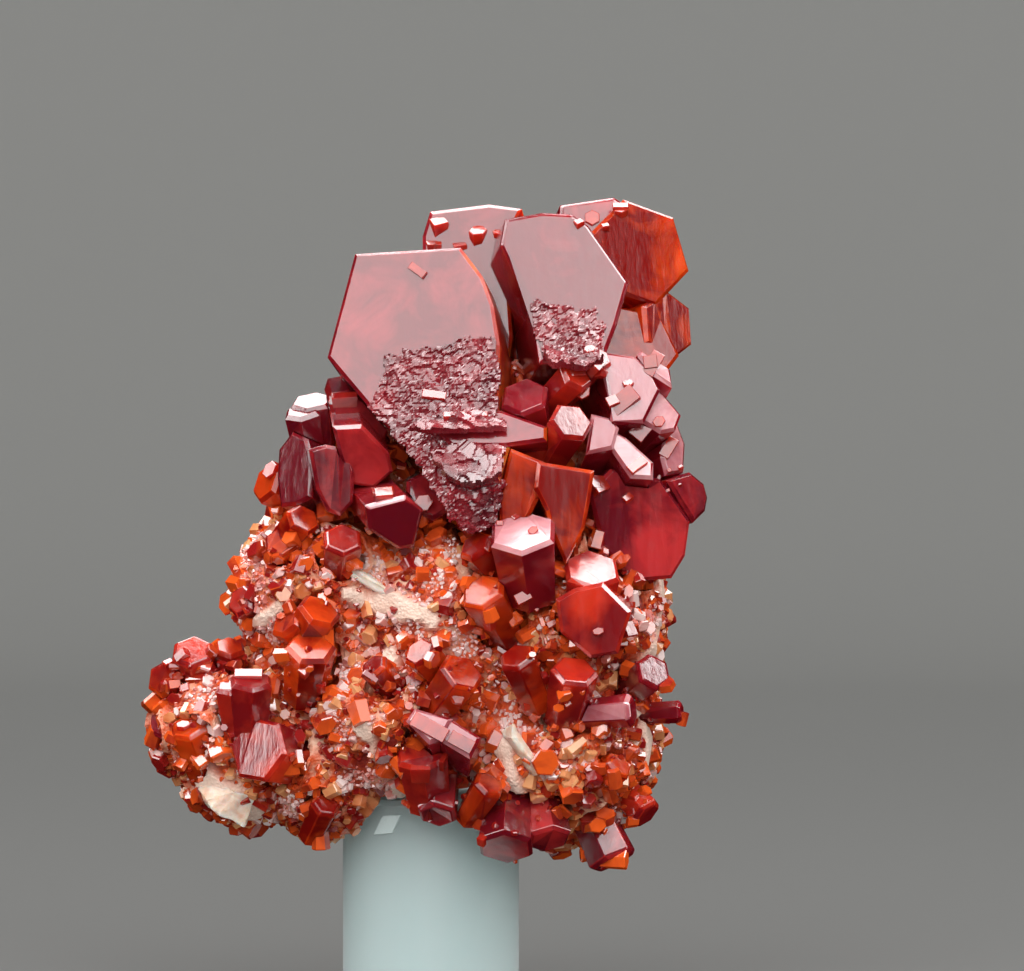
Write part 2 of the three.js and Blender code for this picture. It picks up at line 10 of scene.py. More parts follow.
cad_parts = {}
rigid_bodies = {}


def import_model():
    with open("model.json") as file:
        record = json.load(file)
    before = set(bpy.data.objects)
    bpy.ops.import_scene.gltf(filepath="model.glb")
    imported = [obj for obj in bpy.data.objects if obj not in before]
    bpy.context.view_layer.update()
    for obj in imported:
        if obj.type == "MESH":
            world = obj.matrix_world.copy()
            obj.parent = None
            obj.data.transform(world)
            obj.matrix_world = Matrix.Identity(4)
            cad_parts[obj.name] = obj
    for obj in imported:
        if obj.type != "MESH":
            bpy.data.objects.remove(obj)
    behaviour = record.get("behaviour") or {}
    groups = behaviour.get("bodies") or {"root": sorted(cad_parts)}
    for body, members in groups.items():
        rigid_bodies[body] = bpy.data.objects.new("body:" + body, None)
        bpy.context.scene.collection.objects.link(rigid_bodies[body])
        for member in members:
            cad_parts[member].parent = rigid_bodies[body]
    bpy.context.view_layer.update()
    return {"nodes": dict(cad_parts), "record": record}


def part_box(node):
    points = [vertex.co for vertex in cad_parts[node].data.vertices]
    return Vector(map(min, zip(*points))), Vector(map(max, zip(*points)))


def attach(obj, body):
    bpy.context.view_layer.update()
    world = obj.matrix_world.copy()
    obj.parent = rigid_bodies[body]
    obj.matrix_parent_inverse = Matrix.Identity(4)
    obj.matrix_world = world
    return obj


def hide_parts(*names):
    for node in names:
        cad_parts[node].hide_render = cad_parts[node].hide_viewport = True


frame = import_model()


# ---------------------------------------------------------------- camera
# The specimen is seen level from its best side, from about a foot away, with a long lens.
# The view's middle is a little right of the post's axis and two thirds of the way up.
MM = 0.001
VIEW_MIDDLE = Vector((5.85, 0, 40.74)) * MM
VIEW_DISTANCE = 308 * MM

camera = bpy.data.objects.new("camera", bpy.data.cameras.new("camera"))
camera.data.lens = 150
camera.data.sensor_width = 36
camera.data.clip_start = 0.01
camera.data.clip_end = 20
camera.location = VIEW_MIDDLE - Vector((0, VIEW_DISTANCE, 0))
camera.rotation_euler = (math.radians(90), 0, 0)
bpy.context.scene.collection.objects.link(camera)
bpy.context.scene.camera = camera
bpy.context.scene.view_settings.view_transform = "Standard"


# ---------------------------------------------------------------- floor
# One round sheet of pale grey paper: flat where the specimen stands, and curving up into a
# wall all the way round, far enough out to leave room for looking from any side.
FLAT_RADIUS = 0.55
WALL_RADIUS = 0.95
WALL_TOP = 0.9
FLOOR_SIDES = 96
CURVE_STEPS = 16


def material(name):
    made = bpy.data.materials.new(name)
    made.use_nodes = True
    made.node_tree.nodes.clear()
    return made


def node(tree, kind, inputs=(), **settings):
    made = tree.nodes.new(kind)
    for key, value in settings.items():
        setattr(made, key, value)
    for key, value in dict(inputs).items():
        if isinstance(value, bpy.types.NodeSocket):
            tree.links.new(value, made.inputs[key])
        else:
            made.inputs[key].default_value = value
    return made


def surfaced(tree, inputs):
    """Ends a material in one surface, and returns its output."""
    surface = node(tree, "ShaderNodeBsdfPrincipled", inputs)
    return node(tree, "ShaderNodeOutputMaterial", {"Surface": surface.outputs["BSDF"]})


def mesh_object(name, mesh):
    made = bpy.data.objects.new(name, mesh)
    bpy.context.scene.collection.objects.link(made)
    return made


def turned(profile, sides, squash=1.0, first_angle=0.0, closed=True):
    """A form turned round +Z from rings of [radius, height], capped unless it is a sheet."""
    form = bmesh.new()
    rings = []
    for radius, height in profile:
        ring = []
        for i in range(sides):
            angle = first_angle + 2 * math.pi * i / sides
            place = (radius * math.cos(angle), radius * squash * math.sin(angle), height)
            ring.append(form.verts.new(place))
        rings.append(ring)
    for low, high in zip(rings, rings[1:]):
        for i in range(sides):
            j = (i + 1) % sides
            form.faces.new((low[i], low[j], high[j], high[i]))
    form.faces.new(reversed(rings[0]))
    if closed:
        form.faces.new(rings[-1])
    return form


def mesh_of(name, form):
    mesh = bpy.data.meshes.new(name)
    form.to_mesh(mesh)
    form.free()
    return mesh


curve_radius = WALL_RADIUS - FLAT_RADIUS
floor_profile = [(0.02, 0.0), (FLAT_RADIUS / 2, 0.0)]
for step in range(CURVE_STEPS + 1):
    bend = math.pi / 2 * step / CURVE_STEPS
    floor_profile.append(
        (FLAT_RADIUS + curve_radius * math.sin(bend), curve_radius * (1 - math.cos(bend)))
    )
floor_profile.append((WALL_RADIUS, WALL_TOP))
sheet_form = turned(floor_profile, FLOOR_SIDES, closed=False)
bmesh.ops.reverse_faces(sheet_form, faces=sheet_form.faces)
floor = mesh_object("floor", mesh_of("floor", sheet_form))
floor.data.shade_smooth()
floor.visible_glossy = False

paper = material("pale grey paper")
tree = paper.node_tree
# The paper is painted darker near the middle and lighter towards the wall, to make up for the light,
# which is strongest near the specimen: painted shade and painted light that even out its look.
place = node(tree, "ShaderNodeTexCoord")
spread = node(tree, "ShaderNodeVectorMath", {0: place.outputs["Object"]}, operation="LENGTH")
far = node(
    tree,
    "ShaderNodeMapRange",
    {"Value": spread.outputs["Value"], "From Min": 0.1, "From Max": 0.7},
)
tint = node(
    tree,
    "ShaderNodeMix",
    {"Factor": far.outputs[0], "A": (0.70, 0.70, 0.685, 1), "B": (0.85, 0.85, 0.83, 1)},
    data_type="RGBA",
)
surfaced(tree, {"Base Color": tint.outputs[2], "Roughness": 0.9})
floor.data.materials.append(paper)


# ---------------------------------------------------------------- lights
# A wide soft box in front of and above the specimen, which the broad faces mirror, small
# bright boxes and strips round it for the white glints, and soft fill that the polished
# faces don't show. All but the soft box are flagged off the floor, so that it stays even.
LIGHTS = [
    # name, direction from the specimen, distance, width, height, brightness, is it a fill
    ("front soft box", (0.02, -0.85, 0.48), 0.62, 0.74, 0.44, 1.9, False),
    ("front right box", (0.52, -0.66, 0.54), 0.58, 0.22, 0.26, 1.3, False),
    ("high front box", (0.0, -0.48, 0.88), 0.55, 0.44, 0.18, 5.0, False),
    ("overhead strip", (0.02, 0.22, 1.0), 0.55, 0.24, 0.26, 6.5, False),
    ("rear box", (0.0, 0.72, 0.70), 0.55, 0.46, 0.20, 5.0, False),
    ("upper right box", (0.70, -0.15, 0.70), 0.55, 0.24, 0.28, 6.0, False),
    ("upper left box", (-0.65, -0.05, 0.76), 0.55, 0.22, 0.28, 6.0, False),
    ("right strip", (0.92, 0.05, 0.38), 0.55, 0.16, 0.42, 2.6, False),
    ("left strip", (-0.90, -0.25, 0.34), 0.60, 0.16, 0.36, 3.5, False),
    ("front fill", (-0.25, -0.75, 0.60), 0.50, 0.40, 0.40, 2.4, True),
    ("low fill", (0.15, -0.95, -0.02), 0.50, 0.30, 0.07, 3.0, True),
]
ROOM_LIGHT = 0.2

keep_off = bpy.data.collections.new("flagged off the floor")
keep_off.objects.link(floor)
keep_off.collection_objects[0].light_linking.link_state = "EXCLUDE"

for name, direction, distance, width, height, brightness, is_fill in LIGHTS:
    lamp = bpy.data.lights.new(name, "AREA")
    lamp.shape = "RECTANGLE"
    lamp.size = width
    lamp.size_y = height
    lamp.energy = brightness * math.pi * width * height
    holder = bpy.data.objects.new(name, lamp)
    away = Vector(direction).normalized()
    holder.location = VIEW_MIDDLE + away * distance
    holder.rotation_euler = away.to_track_quat("Z", "Y").to_euler()
    bpy.context.scene.collection.objects.link(holder)
    holder.visible_camera = False
    holder.visible_glossy = not is_fill
    if name != "front soft box":
        holder.light_linking.receiver_collection = keep_off

room = bpy.data.worlds.new("room")
room.use_nodes = True
room.node_tree.nodes["Background"].inputs["Color"].default_value = (1.0, 1.0, 1.0, 1)
room.node_tree.nodes["Background"].inputs["Strength"].default_value = ROOM_LIGHT
room.cycles_visibility.glossy = False
bpy.context.scene.world = room


# ---------------------------------------------------------------- post
# A turned length of milky clear acrylic rod, a little blue-green, with its ends broken.
# The rock is stuck on its top.
post_low, post_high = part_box("post")
POST_RADIUS = (post_high.x - post_low.x) / 2
POST_TOP = post_high.z
POST_CHAMFER = 0.4 * MM
POST_SIDES = 128

rod_form = turned(
    [
        (POST_RADIUS - POST_CHAMFER, 0),
        (POST_RADIUS, POST_CHAMFER),
        (POST_RADIUS, POST_TOP - POST_CHAMFER),
        (POST_RADIUS - POST_CHAMFER, POST_TOP),
    ],
    POST_SIDES,
)
rod = mesh_object("acrylic_rod", mesh_of("acrylic_rod", rod_form))
rod.data.shade_smooth()
rod.data.set_sharp_from_angle(angle=math.radians(30))
acrylic = material("milky acrylic")
tree = acrylic.node_tree
place = node(tree, "ShaderNodeTexCoord")
stretch = node(tree, "ShaderNodeMapping", {"Vector": place.outputs["Object"], "Scale": (1, 1, 0.04)})
cloud = node(
    tree, "ShaderNodeTexNoise", {"Vector": stretch.outputs[0], "Scale": 260.0, "Detail": 3.0}
)
tint = node(
    tree,
    "ShaderNodeMix",
    {"Factor": cloud.outputs["Fac"], "A": (0.49, 0.63, 0.625, 1), "B": (0.56, 0.68, 0.675, 1)},
    data_type="RGBA",
)
grain = node(tree, "ShaderNodeTexNoise", {"Vector": place.outputs["Object"], "Scale": 9000.0})
ripple = node(
    tree, "ShaderNodeBump", {"Height": grain.outputs["Fac"], "Strength": 0.08, "Distance": 0.00005}
)
surfaced(
    tree,
    {
        "Base Color": tint.outputs[2],
        "Roughness": 0.28,
        "IOR": 1.49,
        "Transmission Weight": 0.2,
        "Subsurface Weight": 0.8,
        "Subsurface Radius": (1.0, 1.1, 1.1),
        "Subsurface Scale": 0.018,
        "Sheen Weight": 0.35,
        "Sheen Roughness": 0.5,
        "Normal": ripple.outputs[0],
    },
)
rod.data.materials.append(acrylic)
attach(rod, "root")
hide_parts("post")


# ---------------------------------------------------------------- flake on the post
# A small pale flake of dried glue, high on the left of the post, where it lies flat against
# the rod. It is a thin slanting plate.
FLAKE_MIDDLE = (-2.95, 16.7)
FLAKE_RADIUS = 1.35 * MM
FLAKE_LIFT = 0.03 * MM
FLAKE_TURN = 34
FLAKE_SQUASH = 0.55
FLAKE_PROFILE = [(0.7, -0.5), (1.0, 0.0), (0.94, 0.06)]  # for a radius of 1

dried = material("dried glue")
tree = dried.node_tree
place = node(tree, "ShaderNodeTexCoord")
grain = node(tree, "ShaderNodeTexNoise", {"Vector": place.outputs["Object"], "Scale": 1800.0})
bump = node(
    tree, "ShaderNodeBump", {"Height": grain.outputs["Fac"], "Strength": 0.5, "Distance": 0.0001}
)
surfaced(
    tree,
    {"Base Color": (0.58, 0.69, 0.68, 1), "Roughness": 0.42, "IOR": 1.49, "Normal": bump.outputs[0]},
)


def stood(tip, facing, turn):
    """Turns a form made round +Z to face a way, with its end at the tip."""
    out_way = Vector(facing).normalized()
    right = Vector((0, 0, 1)).cross(out_way).normalized()
    above = out_way.cross(right)
    turned_to = Matrix((right, above, out_way)).transposed().to_4x4()
    return Matrix.Translation(tip) @ turned_to @ Matrix.Rotation(math.radians(turn), 4, "Z")


across, up = FLAKE_MIDDLE
out_way = Vector((across, -math.sqrt((POST_RADIUS / MM) ** 2 - across**2), 0)).normalized()
flake_tip = out_way * (POST_RADIUS + FLAKE_LIFT) + Vector((0, 0, up * MM))
flake_form = turned(FLAKE_PROFILE, 4, squash=FLAKE_SQUASH)
flake_form.transform(Matrix.Scale(FLAKE_RADIUS, 4))
flake_form.transform(stood(flake_tip, out_way, FLAKE_TURN))
flake = mesh_object("post_flake", mesh_of("post_flake", flake_form))
flake.data.materials.append(dried)
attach(flake, "root")


# ---------------------------------------------------------------- large crystals
# Vanadinite: hexagonal prisms and broad plates, red to orange, glassy, and clear enough to
# glow where they are thin. Each is rooted in the rock, and the edges are slightly rounded.
CRYSTAL_SWELL = 0.11 * MM
MOST_SWELL = 1.5
EDGE_WIDTH = 0.07 * MM
FLAT_WITHIN = math.radians(1.2)
SHARP_FROM = math.radians(14)
SAME_PLACE = 0.001 * MM

slot_of = {part["node"]: part["material_slot"] for part in frame["record"]["subparts"]}


def growth_group():
    """Colour, polish and relief that change through a crystal, as it grew in zones. The colour also
    takes painted glow, painted shade and painted facet light from the tone and facet attributes.
    """
    group = bpy.data.node_groups.new("growth zones", "ShaderNodeTree")
    face = group.interface
    for label, kind, value in [
        ("Deep", "NodeSocketColor", (0.3, 0.01, 0.01, 1)),
        ("Thin", "NodeSocketColor", (0.8, 0.1, 0.02, 1)),
        ("Zone Size", "NodeSocketFloat", 260.0),
        ("Polish", "NodeSocketFloat", 0.1),
    ]:
        socket = face.new_socket(label, in_out="INPUT", socket_type=kind)
        socket.default_value = value
    for label, kind in [
        ("Colour", "NodeSocketColor"),
        ("Roughness", "NodeSocketFloat"),
        ("Height", "NodeSocketFloat"),
    ]:
        face.new_socket(label, in_out="OUTPUT", socket_type=kind)
    given = node(group, "NodeGroupInput")
    place = node(group, "ShaderNodeTexCoord")
    broad = node(
        group,
        "ShaderNodeTexNoise",
        {"Vector": place.outputs["Object"], "Scale": given.outputs["Zone Size"], "Detail": 4.0,
         "Roughness": 0.62, "Distortion": 0.6},
    )
    spread = node(
        group,
        "ShaderNodeMapRange",
        {"Value": broad.outputs["Fac"], "From Min": 0.34, "From Max": 0.68},
    )
    # Besides random tone, the tone and facet attributes carry painted glow, painted shade and painted
    # facet light.
    tone = node(group, "ShaderNodeAttribute", attribute_name="tone")
    facet = node(group, "ShaderNodeAttribute", attribute_name="facet")
    own = node(
        group, "ShaderNodeMath", {0: tone.outputs["Fac"], 1: facet.outputs["Fac"]}, operation="ADD"
    )
    shifted = node(
        group,
        "ShaderNodeMath",
        {0: spread.outputs[0], 1: own.outputs[0]},
        operation="ADD",
        use_clamp=True,
    )
    colour = node(
        group,
        "ShaderNodeMix",
        {"Factor": shifted.outputs[0], "A": given.outputs["Deep"], "B": given.outputs["Thin"]},
        data_type="RGBA",
    )
    lengthwise = node(
        group, "ShaderNodeMapping", {"Vector": place.outputs["Object"], "Scale": (1, 1, 0.12)}
    )
    streaks = node(
        group,
        "ShaderNodeTexNoise",
        {"Vector": lengthwise.outputs[0], "Scale": 2600.0, "Detail": 3.0, "Roughness": 0.7},
    )
    dull = node(
        group,
        "ShaderNodeMapRange",
        {"Value": streaks.outputs["Fac"], "From Min": 0.3, "From Max": 0.8, "To Min": 0.0,
         "To Max": 0.16},
    )
    rough = node(
        group,
        "ShaderNodeMath",
        {0: given.outputs["Polish"], 1: dull.outputs[0]},
        operation="ADD",
    )
    pits = node(
        group,
        "ShaderNodeTexNoise",
        {"Vector": place.outputs["Object"], "Scale": 1500.0, "Detail": 2.0},
    )
    relief = node(
        group,
        "ShaderNodeMath",
        {0: streaks.outputs["Fac"], 1: pits.outputs["Fac"]},
        operation="ADD",
    )
    node(
        group,
        "NodeGroupOutput",
        {"Colour": colour.outputs[2], "Roughness": rough.outputs[0], "Height": relief.outputs[0]},
    )
    return group


growth_zones = growth_group()


def vanadinite(
    name, deep, thin, clear, absorb=None, density=0, polish=0.08, glow=0.5, relief=0.12, shine=0.5
):
    """A finish between two colours. One with no colour to absorb is solid to its middle."""
    made = material(name)
    tree = made.node_tree
    zones = node(tree, "ShaderNodeGroup", node_tree=growth_zones)
    zones.inputs["Deep"].default_value = (*deep, 1)
    zones.inputs["Thin"].default_value = (*thin, 1)
    zones.inputs["Polish"].default_value = polish
    bump = node(
        tree,
        "ShaderNodeBump",
        {"Height": zones.outputs["Height"], "Strength": relief, "Distance": 0.00006},
    )
    out = surfaced(
        tree,
        {
            "Base Color": zones.outputs["Colour"],
            "Roughness": zones.outputs["Roughness"],
            "IOR": 2.35,
            "Transmission Weight": clear,
            "Subsurface Weight": glow,
            "Subsurface Radius": (1.0, 0.25, 0.12),
            "Subsurface Scale": 0.002,
            "Specular IOR Level": shine,
            "Normal": bump.outputs[0],
        },
    )
    if absorb:
        inside = node(
            tree, "ShaderNodeVolumeAbsorption", {"Color": (*absorb, 1), "Density": density}
        )
        tree.links.new(inside.outputs[0], out.inputs["Volume"])
    return made


CRYSTAL_FINISH = {
    "pink_vanadinite": vanadinite(
        "pink vanadinite", (0.24, 0.005, 0.014), (0.50, 0.022, 0.036), 0.25, (0.985, 0.12, 0.14), 500
    ),
    "red_vanadinite": vanadinite(
        "red vanadinite", (0.34, 0.009, 0.013), (0.95, 0.055, 0.020), 0.35, (0.985, 0.14, 0.06), 500,
        relief=0.22,
    ),
    "amber_vanadinite": vanadinite(
        "amber vanadinite", (0.28, 0.006, 0.004), (0.92, 0.085, 0.008), 0.35, (0.99, 0.30, 0.05), 400,
        relief=0.16, glow=0.7, shine=0.1,
    ),
    "wine_vanadinite": vanadinite(
        "wine vanadinite", (0.21, 0.006, 0.016), (0.72, 0.040, 0.044), 0.35, (0.95, 0.10, 0.16), 500,
        relief=0.22,
    ),
}

# The right side of the great left crystal is painted bright orange: a painted glow, for light that
# shines through it.
painted_glow_side = vanadinite(
    "painted glow side", (0.45, 0.015, 0.004), (1.0, 0.15, 0.010), 0.2,
    polish=0.3, glow=0.8, shine=0.1,
)
# Faces turned to the front are painted a pale pinkish colour: a painted sheen, for the soft box that
# they mirror.
painted_sheen_face = vanadinite(
    "painted sheen face", (0.42, 0.10, 0.12), (0.74, 0.34, 0.36), 0.1,
    polish=0.12, glow=0.3, relief=0.18,
)

# Faces given a painted glow or a painted sheen, unlike the rest of their crystal: the finish, the way
# that they face, and how nearly.
OTHER_FACES = {
    "great_left_crystal": (painted_glow_side, (1, 0, 0), 0.3),
    "twin_pink_prisms": (painted_sheen_face, (-0.2, -0.9, 0.3), 0.62),
    "pink_plates": (painted_sheen_face, (0.1, -0.9, 0.3), 0.62),
    "lower_pink_plates": (painted_sheen_face, (0.1, -0.9, 0.3), 0.62),
    "pink_oval_crystal": (painted_sheen_face, (0.1, -0.9, 0.3), 0.62),
    "striped_side_prism": (painted_sheen_face, (0.1, -0.9, 0.3), 0.7),
    "crowned_crystal": (painted_sheen_face, (-0.1, -0.9, 0.3), 0.8),
    "flat_wine_crystal": (painted_sheen_face, (-0.1, -0.8, 0.5), 0.8),
}


def set_number(mesh, name, values, domain="POINT"):
    attribute = mesh.attributes.new(name, "FLOAT", domain)
    attribute.data.foreach_set("value", values)


def facet(form):
    """Leaves one polygon for each flat face, swollen to close the gaps between pieces."""
    bmesh.ops.remove_doubles(form, verts=form.verts, dist=SAME_PLACE)
    bmesh.ops.dissolve_limit(
        form, angle_limit=FLAT_WITHIN, verts=form.verts, edges=form.edges
    )
    form.normal_update()
    for vertex in form.verts:
        swell = min(vertex.calc_shell_factor(), MOST_SWELL) * CRYSTAL_SWELL
        vertex.co += vertex.normal * swell


def eased(form):
    """Eases the edges, with a narrower ease where the wide one would throw out a spike."""
    before = BVHTree.FromBMesh(form)
    for width in (EDGE_WIDTH, EDGE_WIDTH / 2):
        trial = form.copy()
        sharp = [
            edge
            for edge in trial.edges
            if len(edge.link_faces) == 2 and edge.calc_face_angle() > SHARP_FROM
        ]
        bmesh.ops.bevel(
            trial, geom=sharp, offset=width, segments=1, affect="EDGES", clamp_overlap=True
        )
        if all(before.find_nearest(vertex.co, width * 1.5)[0] for vertex in trial.verts):
            return trial
        trial.free()
    return form.copy()


def in_order(form):
    """The same form with its corners and faces in one fixed order, however it was made."""
    numbers = {}
    for vertex in sorted(form.verts, key=lambda vertex: vertex.co[:]):
        numbers[vertex] = len(numbers)
    rings = []
    for face in form.faces:
        ring = [numbers[vertex] for vertex in face.verts]
        first = ring.index(min(ring))
        rings.append(ring[first:] + ring[:first])
    ordered = bmesh.new()
    points = [ordered.verts.new(vertex.co) for vertex in numbers]
    for ring in sorted(rings):
        ordered.faces.new([points[number] for number in ring])
    form.free()
    return ordered


REFINE_ROUNDS = 4


def refined(form, longest):
    """Splits the faces finely enough to carry a change of tone across them."""
    bmesh.ops.triangulate(form, faces=form.faces)
    for _ in range(REFINE_ROUNDS):
        long_edges = [edge for edge in form.edges if edge.calc_length() > longest]
        if not long_edges:
            return
        bmesh.ops.subdivide_edges(form, edges=long_edges, cuts=1)
        bmesh.ops.triangulate(form, faces=form.faces)


# Painted glow and painted shade: the tone is raised where light would shine through a crystal, and
# lowered where it would be darkest.
PAINTED_GLOWS_AND_SHADE = [
    # across, up, radius, change of tone
    (16.6, 35.6, 3.2, 0.9), (12.6, 38.4, 2.6, -0.5), (10.2, 38.6, 1.8, 0.5), (6.4, 39.6, 1.6, 0.2),
    (14.6, 58.2, 3.4, -0.55), (17.4, 57.0, 2.4, 0.2), (11.2, 32.4, 1.6, 0.9), (12.8, 30.2, 1.6, -0.4),
    (-8.6, 41.6, 1.6, -0.3), (4.6, 33.0, 1.6, 0.5), (-18.2, 26.4, 1.4, 0.6), (-16.6, 22.4, 2.2, 0.6),
    (-11.6, 25.4, 2.2, -0.2), (16.6, 48.4, 2.4, 0.4), (-10.4, 21.0, 1.6, 0.5),
]
REFINED_EDGE = 0.9 * MM
OWN_TONE = 0.15
TONE_WAVE = 2.4 * MM
WAVE_SHARE = 0.3
PAINTED_FACE_SHADE_SHARE = 0.4
FACE_CELLS = 9  # how finely the faces are told apart by the way they face
CELL_SHIFT = 50  # keeps faces of two crystals that face one way from matching


def painted_glow_and_shade_at(place):
    total = 0.0
    for across, up, radius, change in PAINTED_GLOWS_AND_SHADE:
        away = math.hypot(place.x / MM - across, place.z / MM - up) / radius
        if place.y < 0 and away < 1:
            total += change * (1 - away * away)
    return total


tones = random.Random(7)
crystals = {}
for name, solid in frame["nodes"].items():
    if slot_of[name] not in CRYSTAL_FINISH:
        continue
    form = bmesh.new()
    form.from_mesh(solid.data)
    facet(form)
    finished = in_order(eased(form))
    form.free()
    refined(finished, REFINED_EDGE)
    finished.normal_update()
    own_tone = tones.uniform(-OWN_TONE, OWN_TONE)
    own_cells = Vector((own_tone * CELL_SHIFT, 0, 0))
    point_tones = [
        own_tone + WAVE_SHARE * noise.noise(vertex.co / TONE_WAVE) + painted_glow_and_shade_at(vertex.co)
        for vertex in finished.verts
    ]
    # Each face's tone shifts at random by the way it faces: painted light and shade that differ from
    # face to face.
    painted_face_shades = [
        PAINTED_FACE_SHADE_SHARE * (noise.cell(face.normal * FACE_CELLS + own_cells) - 0.5)
        for face in finished.faces
    ]
    mesh = mesh_of("vanadinite_" + name, finished)
    set_number(mesh, "tone", point_tones)
    set_number(mesh, "facet", painted_face_shades, "FACE")
    mesh.materials.append(CRYSTAL_FINISH[slot_of[name]])
    if name in OTHER_FACES:
        finish, way, nearness = OTHER_FACES[name]
        mesh.materials.append(finish)
        way = Vector(way).normalized()
        for polygon in mesh.polygons:
            polygon.material_index = int(polygon.normal.dot(way) > nearness)
    crystal = mesh_object("vanadinite_" + name, mesh)
    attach(crystal, "root")
    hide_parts(name)
    crystals[name] = crystal


# ---------------------------------------------------------------- rock
# Pale cream calcite, stained orange and red by what grew on it. It is lumpy, and a little
# smaller than the solid that it stands for, which leaves room for the druse on it.
ROCK_GRAIN = 0.34 * MM
ROCK_INSET = 0.55 * MM
ROCK_RELIEF = 0.55 * MM

form = bmesh.new()
form.from_mesh(frame["nodes"]["matrix"].data)
bmesh.ops.remove_doubles(form, verts=form.verts, dist=SAME_PLACE)
rock = mesh_object("calcite_rock", mesh_of("calcite_rock", form))
remesh = rock.modifiers.new("grain", "REMESH")
remesh.mode = "VOXEL"
remesh.voxel_size = ROCK_GRAIN
bpy.context.view_layer.update()
mesh = bpy.data.meshes.new_from_object(rock.evaluated_get(bpy.context.evaluated_depsgraph_get()))
rock.modifiers.clear()
rock.data = mesh


def surfaces_of(meshes):
    """The meshes as one, for finding the nearest point or what a line meets."""
    form = bmesh.new()
    for mesh in meshes:
        form.from_mesh(mesh)
    surfaces = BVHTree.FromBMesh(form)
    form.free()
    return surfaces


crystal_surfaces = surfaces_of([crystal.data for crystal in crystals.values()])
rock_surface = surfaces_of([mesh])

ROOT_MARGIN = 0.7 * MM
POST_MARGIN = 0.9 * MM
FAR_IN_FRONT = 60 * MM
FRONT_DEPTH = 8 * MM

# Patches of sugary pale crystals: across, up and radius, in millimetres, on the best side.
SUGAR_PATCHES = [
    (-12.9, 36.6, 1.9), (-13.0, 33.8, 2.0), (-12.2, 31.0, 1.8), (-10.6, 30.2, 1.4),
    (-4.4, 35.2, 1.6), (-1.6, 31.6, 1.7), (2.3, 29.8, 1.5), (-16.2, 25.6, 1.6),
    (-2.6, 27.6, 1.3), (-18.0, 22.0, 1.4), (8.6, 25.4, 1.5), (-6.8, 23.6, 1.2),
    (6.0, 24.6, 1.6), (-9.8, 17.8, 1.4), (-1.2, 22.0, 1.0),
]

# Bare smooth calcite, in bands from one place to another, with half their width.
BARE_BANDS = [
    ((-6.8, 35.6), (0.0, 31.4), 0.7), ((-5.2, 33.0), (-2.2, 32.0), 0.8),
    ((-2.9, 28.8), (-2.2, 27.2), 0.6), ((-4.7, 24.2), (-2.0, 18.8), 0.65),
    ((5.0, 22.9), (5.8, 19.4), 0.8), ((16.6, 34.4), (16.4, 26.4), 0.9),
    ((-15.8, 19.4), (-13.2, 17.6), 1.5), ((15.6, 23.6), (15.6, 21.2), 0.7),
    ((-12.6, 30.8), (-10.4, 32.2), 0.6),
]
BARE_DEPTH = 0.12 * MM
BARE_REACH = 1.3
BARE_FADE = 2
BARE_RAGGED = 0.5
BARE_EDGE_WAVE = 1.1 * MM


def shown_at(surfaces, across, up):
    """The point that shows from the best side at a place across and up."""
    start = Vector((across * MM, -FAR_IN_FRONT, up * MM))
    found = surfaces.ray_cast(start, Vector((0, 1, 0)))[0]
    if found is None:
        found = surfaces.find_nearest(Vector((across * MM, -FRONT_DEPTH, up * MM)))[0]
    return found


sugar_spots = [
    (shown_at(rock_surface, across, up), radius * MM) for across, up, radius in SUGAR_PATCHES
]
bare_bands = [
    (shown_at(rock_surface, *start), shown_at(rock_surface, *end), radius * MM)
    for start, end, radius in BARE_BANDS
]


def bareness(place):
    """1 on bare calcite and 0 away from it, with a ragged edge."""
    most = 0.0
    for start, end, radius in bare_bands:
        way = end - start
        along = min(max((place - start).dot(way) / way.length_squared, 0), 1)
        away = (place - start - way * along).length / radius
        most = max(most, BARE_REACH - away + BARE_RAGGED * noise.noise(place / BARE_EDGE_WAVE))
    return min(max(most * BARE_FADE, 0), 1)


LUMP_SIZE = 3.2 * MM
LUMP_SHARE = 0.8
CRAG_SIZE = 0.9 * MM
CRAG_SHARE = 0.2
LEAST_DEPTH = 0.05 * MM
SUGAR_RAGGED = 0.45
SUGAR_EDGE_WAVE = 1.3 * MM
PALE_SIZE = 3.6 * MM
PALE_ABOVE = 0.44  # of a noise that runs from about -1 to 1
PALE_START = Vector((3, 7, 1))

moved = []
growth = []
sugar = []
bare = []
for vertex in mesh.vertices:
    place = vertex.co
    lump = noise.fractal(place / LUMP_SIZE, 1.0, 2.0, 4)
    crag = noise.noise(place / CRAG_SIZE)
    depth = ROCK_INSET - ROCK_RELIEF * lump * LUMP_SHARE - CRAG_SHARE * ROCK_RELIEF * crag
    bared = bareness(place)
    depth = max(depth, LEAST_DEPTH) * (1 - bared) + BARE_DEPTH * bared
    moved.extend(place - vertex.normal * depth)
    near = crystal_surfaces.ray_cast(place, vertex.normal, ROOT_MARGIN)[0] is not None
    by_post = math.hypot(place.x, place.y) < POST_RADIUS + POST_MARGIN and place.z < POST_TOP + MM
    ragged = 1 + SUGAR_RAGGED * noise.noise(place / SUGAR_EDGE_WAVE)
    pale = any((place - spot).length < radius * ragged for spot, radius in sugar_spots)
    pale = pale or noise.noise(place / PALE_SIZE + PALE_START) > PALE_ABOVE
    open_ground = not (near or by_post or bared > 0.5)
    growth.append(1.0 if open_ground and not pale else 0.0)
    sugar.append(1.0 if open_ground and pale else 0.0)
    bare.append(bared)
mesh.vertices.foreach_set("co", moved)
set_number(mesh, "growth", growth)
set_number(mesh, "sugar", sugar)
set_number(mesh, "bare", bare)

